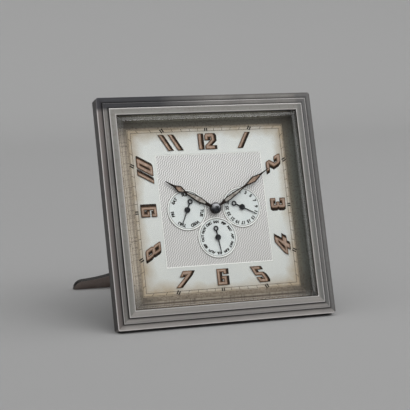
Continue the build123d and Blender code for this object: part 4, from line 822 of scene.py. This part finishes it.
# Painted light below and along the edges; painted shade on the right, rim, sides, corners and upper left
for name, colour in (
        ("rosy", "#7d6f6b"), ("cool", "#565c63"), ("wiped", "#d6cfcb"), ("wear", "#f4f0ee"),
        ("dusty", "#4c4a48"), ("sulphide", "#3a3c42"), ("outer_side", "#3b3836"), ("grime", "#0c0b0b")):
    tone = add(tree, "ShaderNodeMix", {
        0: share[name], 6: tone, 7: linear(colour)}, data_type="RGBA").outputs[2]
wire(tree, shader, {
    "Base Color": tone,
    "Roughness": add(tree, "ShaderNodeMapRange", {
        "Value": mottle.outputs["Fac"], "To Min": 0.3, "To Max": 0.45}).outputs[0]})
piece = new_piece(
    "stepped_frame", points, faces, tarnished_silver, "case", "tarnished_silver", crease=40.0)
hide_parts("bezel_frame")
# Wear with its painted highlight, and grime with its painted shade, fade with the distance d from their
# edges or corners: exp(-(d / width)^1.5)
for name, marked, width in (("wear", worn_and_lit_edges, 0.36), ("grime", dark_corners, 0.75)):
    away = np.linalg.norm(profile[:, None] - marked[None], axis=2).min(1)
    values = np.repeat(np.exp(-(away / width) ** 1.5), len(points) // len(profile))
    piece.data.attributes.new(name, "FLOAT", "POINT").data.foreach_set("value", values)
# The frame stands on a narrow land, so nothing of it goes below the table
corners = np.empty(3 * len(piece.data.vertices))
piece.data.vertices.foreach_get("co", corners)
corners[2::3] = np.maximum(corners[2::3], 0.0)
piece.data.vertices.foreach_set("co", corners)

# Case: sheet silver box behind the frame, its flange screwed to the frame's back, shut by a flat cover
# with four screws. The winding key, the setting knob and the calendar's correctors come through it.
finish_nodes(tarnished_silver, "case_body", "back_cover", "winding_key", "setting_knob", "day_corrector",
             "date_corrector", "month_corrector")

# Correctors' springs: steel wire wound round each corrector's stem, outside the case, between its wall and
# the stem's head. A push on the head squeezes the spring flat against the wall.
spring_turns = 3.5
rows_along = 85
wire_sides = 8


def coil(foot, way, length, bore, outer):
    """Tube of wire wound on a helix: foot - way (w + (l - 2 w) t / T) + r (cos t, sin t) across the way, with
    a circle of radius w swept along it, and flat ends."""
    wire_radius = (outer - bore) / 2
    t = np.linspace(0, 2 * np.pi * spring_turns, rows_along)[:, None]
    out = np.array([0.0, 0.0, 1.0])
    outward = np.cos(t) * np.cross(way, out) + np.sin(t) * out
    along = way * (wire_radius + (length - 2 * wire_radius) * t / t[-1])
    middle = foot - along + (bore + wire_radius) * outward
    turn = np.linspace(0, 2 * np.pi, wire_sides, endpoint=False)[:, None]
    rows = middle[:, None] + wire_radius * (np.cos(turn) * outward[:, None] + np.sin(turn) * way)
    numbers = np.arange(rows_along * wire_sides).reshape(rows_along, wire_sides).tolist()
    faces = grid_faces(rows_along, wire_sides, False, True).tolist() + [numbers[0], numbers[-1]]
    return rows.reshape(-1, 3), faces


dial_axes = np.column_stack([across_dial, up_dial, out_of_dial])
for name in ("day", "date", "month"):
    joint = next(joint for joint in frame["joints"] if joint["name"] == name + "_push")
    sleeve = frame["nodes"][name + "_corrector_spring"].data
    corners = np.empty(3 * len(sleeve.vertices))
    sleeve.vertices.foreach_get("co", corners)
    corners = 1000 * (corners.reshape(-1, 3) - dial_centre) @ dial_axes
    way = np.array(joint["axis"]) @ dial_axes
    middle = (corners.min(0) + corners.max(0)) / 2
    run = (corners - middle) @ way
    foot = middle + way * run.max()
    off_axis = np.linalg.norm(corners - middle - np.outer(run, way), axis=1)
    piece = new_piece(name + "_coil_spring", *coil(foot, way, np.ptp(run), off_axis.min(), off_axis.max()),
                      turned_steel, "case", "steel")
    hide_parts(name + "_corrector_spring")
    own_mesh(piece)

# Easel strut: sheet silver with a flared foot, hinged on a bracket that is riveted to the cover.
# Its faces have gone brown, and its cut edges, which nobody polishes, are nearly black.
strut_open_angle = math.radians(50.5)
out_of_strut = Vector(math.cos(strut_open_angle) * out_of_dial - math.sin(strut_open_angle) * up_dial)
# Browned silver: brown grey and patchy where a face looks the way of the strut's front or back, else dark
browned_silver, tree, shader = new_material("browned_silver", Metallic=0.7)
place = add(tree, "ShaderNodeTexCoord", {})
patch = add(tree, "ShaderNodeTexNoise", {
    "Vector": dial_millimetres(tree), "Scale": 0.25, "Detail": 5.0, "Roughness": 0.6})
faced = add(tree, "ShaderNodeMath", {
    0: add(tree, "ShaderNodeVectorMath", {
        0: place.outputs["Normal"], 1: out_of_strut}, operation="DOT_PRODUCT").outputs["Value"]},
    operation="ABSOLUTE")
face = add(tree, "ShaderNodeMix", {
    0: add(tree, "ShaderNodeMapRange", {
        "Value": patch.outputs["Fac"], "From Min": 0.2, "From Max": 0.8}).outputs[0],
    6: linear("#897b75"), 7: linear("#a79a94")}, data_type="RGBA")
wire(tree, shader, {
    "Base Color": add(tree, "ShaderNodeMix", {
        0: add(tree, "ShaderNodeMapRange", {
            "Value": faced.outputs[0], "From Min": 0.3, "From Max": 0.8}).outputs[0],
        6: linear("#2a2827"), 7: face.outputs[2]}, data_type="RGBA").outputs[2],
    "Roughness": add(tree, "ShaderNodeMapRange", {
        "Value": patch.outputs["Fac"], "To Min": 0.35, "To Max": 0.5}).outputs[0]})
finish_nodes(browned_silver, "strut", "hinge_bracket")

# Table and backdrop: one pale grey sheet that runs up far behind the clock in a wide curve. It is printed
# a little paler towards the back, so that it looks even under the lamp.
sweep_start = 0.75
sweep_radius = 0.5
sheet_half = 6.0
sheet_top = 3.0
bend_points = 25
turn = np.linspace(0, np.pi / 2, bend_points)
bend = [sweep_start, 0.0] + sweep_radius * np.column_stack([np.sin(turn), 1 - np.cos(turn)])
sweep = np.vstack([[[-sheet_half, 0.0]], bend, [[sweep_start + sweep_radius, sheet_top]]])
sheet = np.stack([np.column_stack([np.full(len(sweep), x), sweep]) for x in (-sheet_half, sheet_half)], 1)
mesh = bpy.data.meshes.new("grey_paper")
mesh.from_pydata(sheet.reshape(-1, 3).tolist(), [], grid_faces(len(sweep), 2, False, False).tolist())
mesh.polygons.foreach_set("use_smooth", np.ones(len(mesh.polygons), bool))
paper, tree, shader = new_material("grey_paper", Roughness=0.9)
place = add(tree, "ShaderNodeTexCoord", {})
further = add(tree, "ShaderNodeMapRange", {
    "Value": add(tree, "ShaderNodeSeparateXYZ", {0: place.outputs["Object"]}).outputs[1],
    "From Min": -0.2, "From Max": 0.9})
wire(tree, shader, {"Base Color": add(tree, "ShaderNodeMix", {
    0: further.outputs[0], 6: linear("#868686"), 7: linear("#9b9b9b")}, data_type="RGBA").outputs[2]})
mesh.materials.append(paper)
table = bpy.data.objects.new("grey_paper", mesh)
bpy.context.scene.collection.objects.link(table)

# Light: pale walls all round, a little brighter on the right and overhead, with a dark gap where the glass
# would mirror them to the front. A soft box at the upper right throws the frame's shadow on the dial, and a
# strip light beside it leaves the streak in the glass's upper bevel.
world = bpy.data.worlds.new("studio_room")
bpy.context.scene.world = world
world.use_nodes = True
tree = world.node_tree
way = add(tree, "ShaderNodeTexCoord", {}).outputs["Generated"]
axes = add(tree, "ShaderNodeSeparateXYZ", {0: way})
mirror_way = Vector((0.345, -0.838, 0.42)).normalized()
mirrored = add(tree, "ShaderNodeVectorMath", {
    0: way, 1: mirror_way}, operation="DOT_PRODUCT").outputs["Value"]
gap = add(tree, "ShaderNodeMapRange", {
    "Value": mirrored, "From Min": 0.86, "From Max": 0.985, "To Min": 1.0, "To Max": 0.08})
ceiling = add(tree, "ShaderNodeMapRange", {
    "Value": axes.outputs[2], "From Min": 0.5, "From Max": 0.9, "To Min": 1.0, "To Max": 1.5})
walls = add(tree, "ShaderNodeMapRange", {
    "Value": axes.outputs[0], "From Min": -1.0, "From Max": 1.0, "To Min": 0.8, "To Max": 1.2})
overhead = add(tree, "ShaderNodeMath", {0: gap.outputs[0], 1: ceiling.outputs[0]}, operation="MULTIPLY")
level = add(tree, "ShaderNodeMath", {0: overhead.outputs[0], 1: walls.outputs[0]}, operation="MULTIPLY")
wire(tree, tree.nodes["Background"], {"Color": level.outputs[0], "Strength": 1.08})
lit_place = Vector((0, 0, 0.05))
for name, width, height, energy, stands_at, in_reflections in (
        ("soft_box", 1.0, 1.0, 6.8, (0.40, -0.70, 1.05), False),
        ("strip_light", 0.45, 0.16, 0.7, (0.27, -0.66, 0.83), True)):
    lamp = bpy.data.lights.new(name, "AREA")
    lamp.shape = "RECTANGLE"
    lamp.size = width
    lamp.size_y = height
    lamp.energy = energy
    light = bpy.data.objects.new(name, lamp)
    light.location = stands_at
    light.visible_glossy = in_reflections
    light.visible_transmission = False
    light.rotation_euler = (lit_place - light.location).to_track_quat("-Z", "Y").to_euler()
    bpy.context.scene.collection.objects.link(light)

# Camera: a long lens in front of the clock, to its left and a little above it. Its place and focal length
# are solved from the frame's corners in the photograph.
focal_pixels = 1387.2
image_pixels = 410
yaw = math.radians(-20.54)
elevation = math.radians(8.55)
distance = 0.6668
offset_right = -0.00415
offset_up = 0.00196
backward = Vector((
    math.sin(yaw) * math.cos(elevation), -math.cos(yaw) * math.cos(elevation), math.sin(elevation)))
right = (-backward).cross(Vector((0, 0, 1))).normalized()
upward = right.cross(-backward)
camera_data = bpy.data.cameras.new("camera")
camera_data.sensor_width = 36.0
camera_data.lens = focal_pixels / image_pixels * camera_data.sensor_width
camera_data.clip_start = 0.01
camera = bpy.data.objects.new("camera", camera_data)
stand_at = Vector(dial_centre) + offset_right * right + offset_up * upward + distance * backward
camera.matrix_world = Matrix.Translation(stand_at) @ Matrix((right, upward, backward)).transposed().to_4x4()
bpy.context.scene.collection.objects.link(camera)
bpy.context.scene.camera = camera
bpy.context.scene.view_settings.view_transform = "Standard"

bpy.context.view_layer.update()
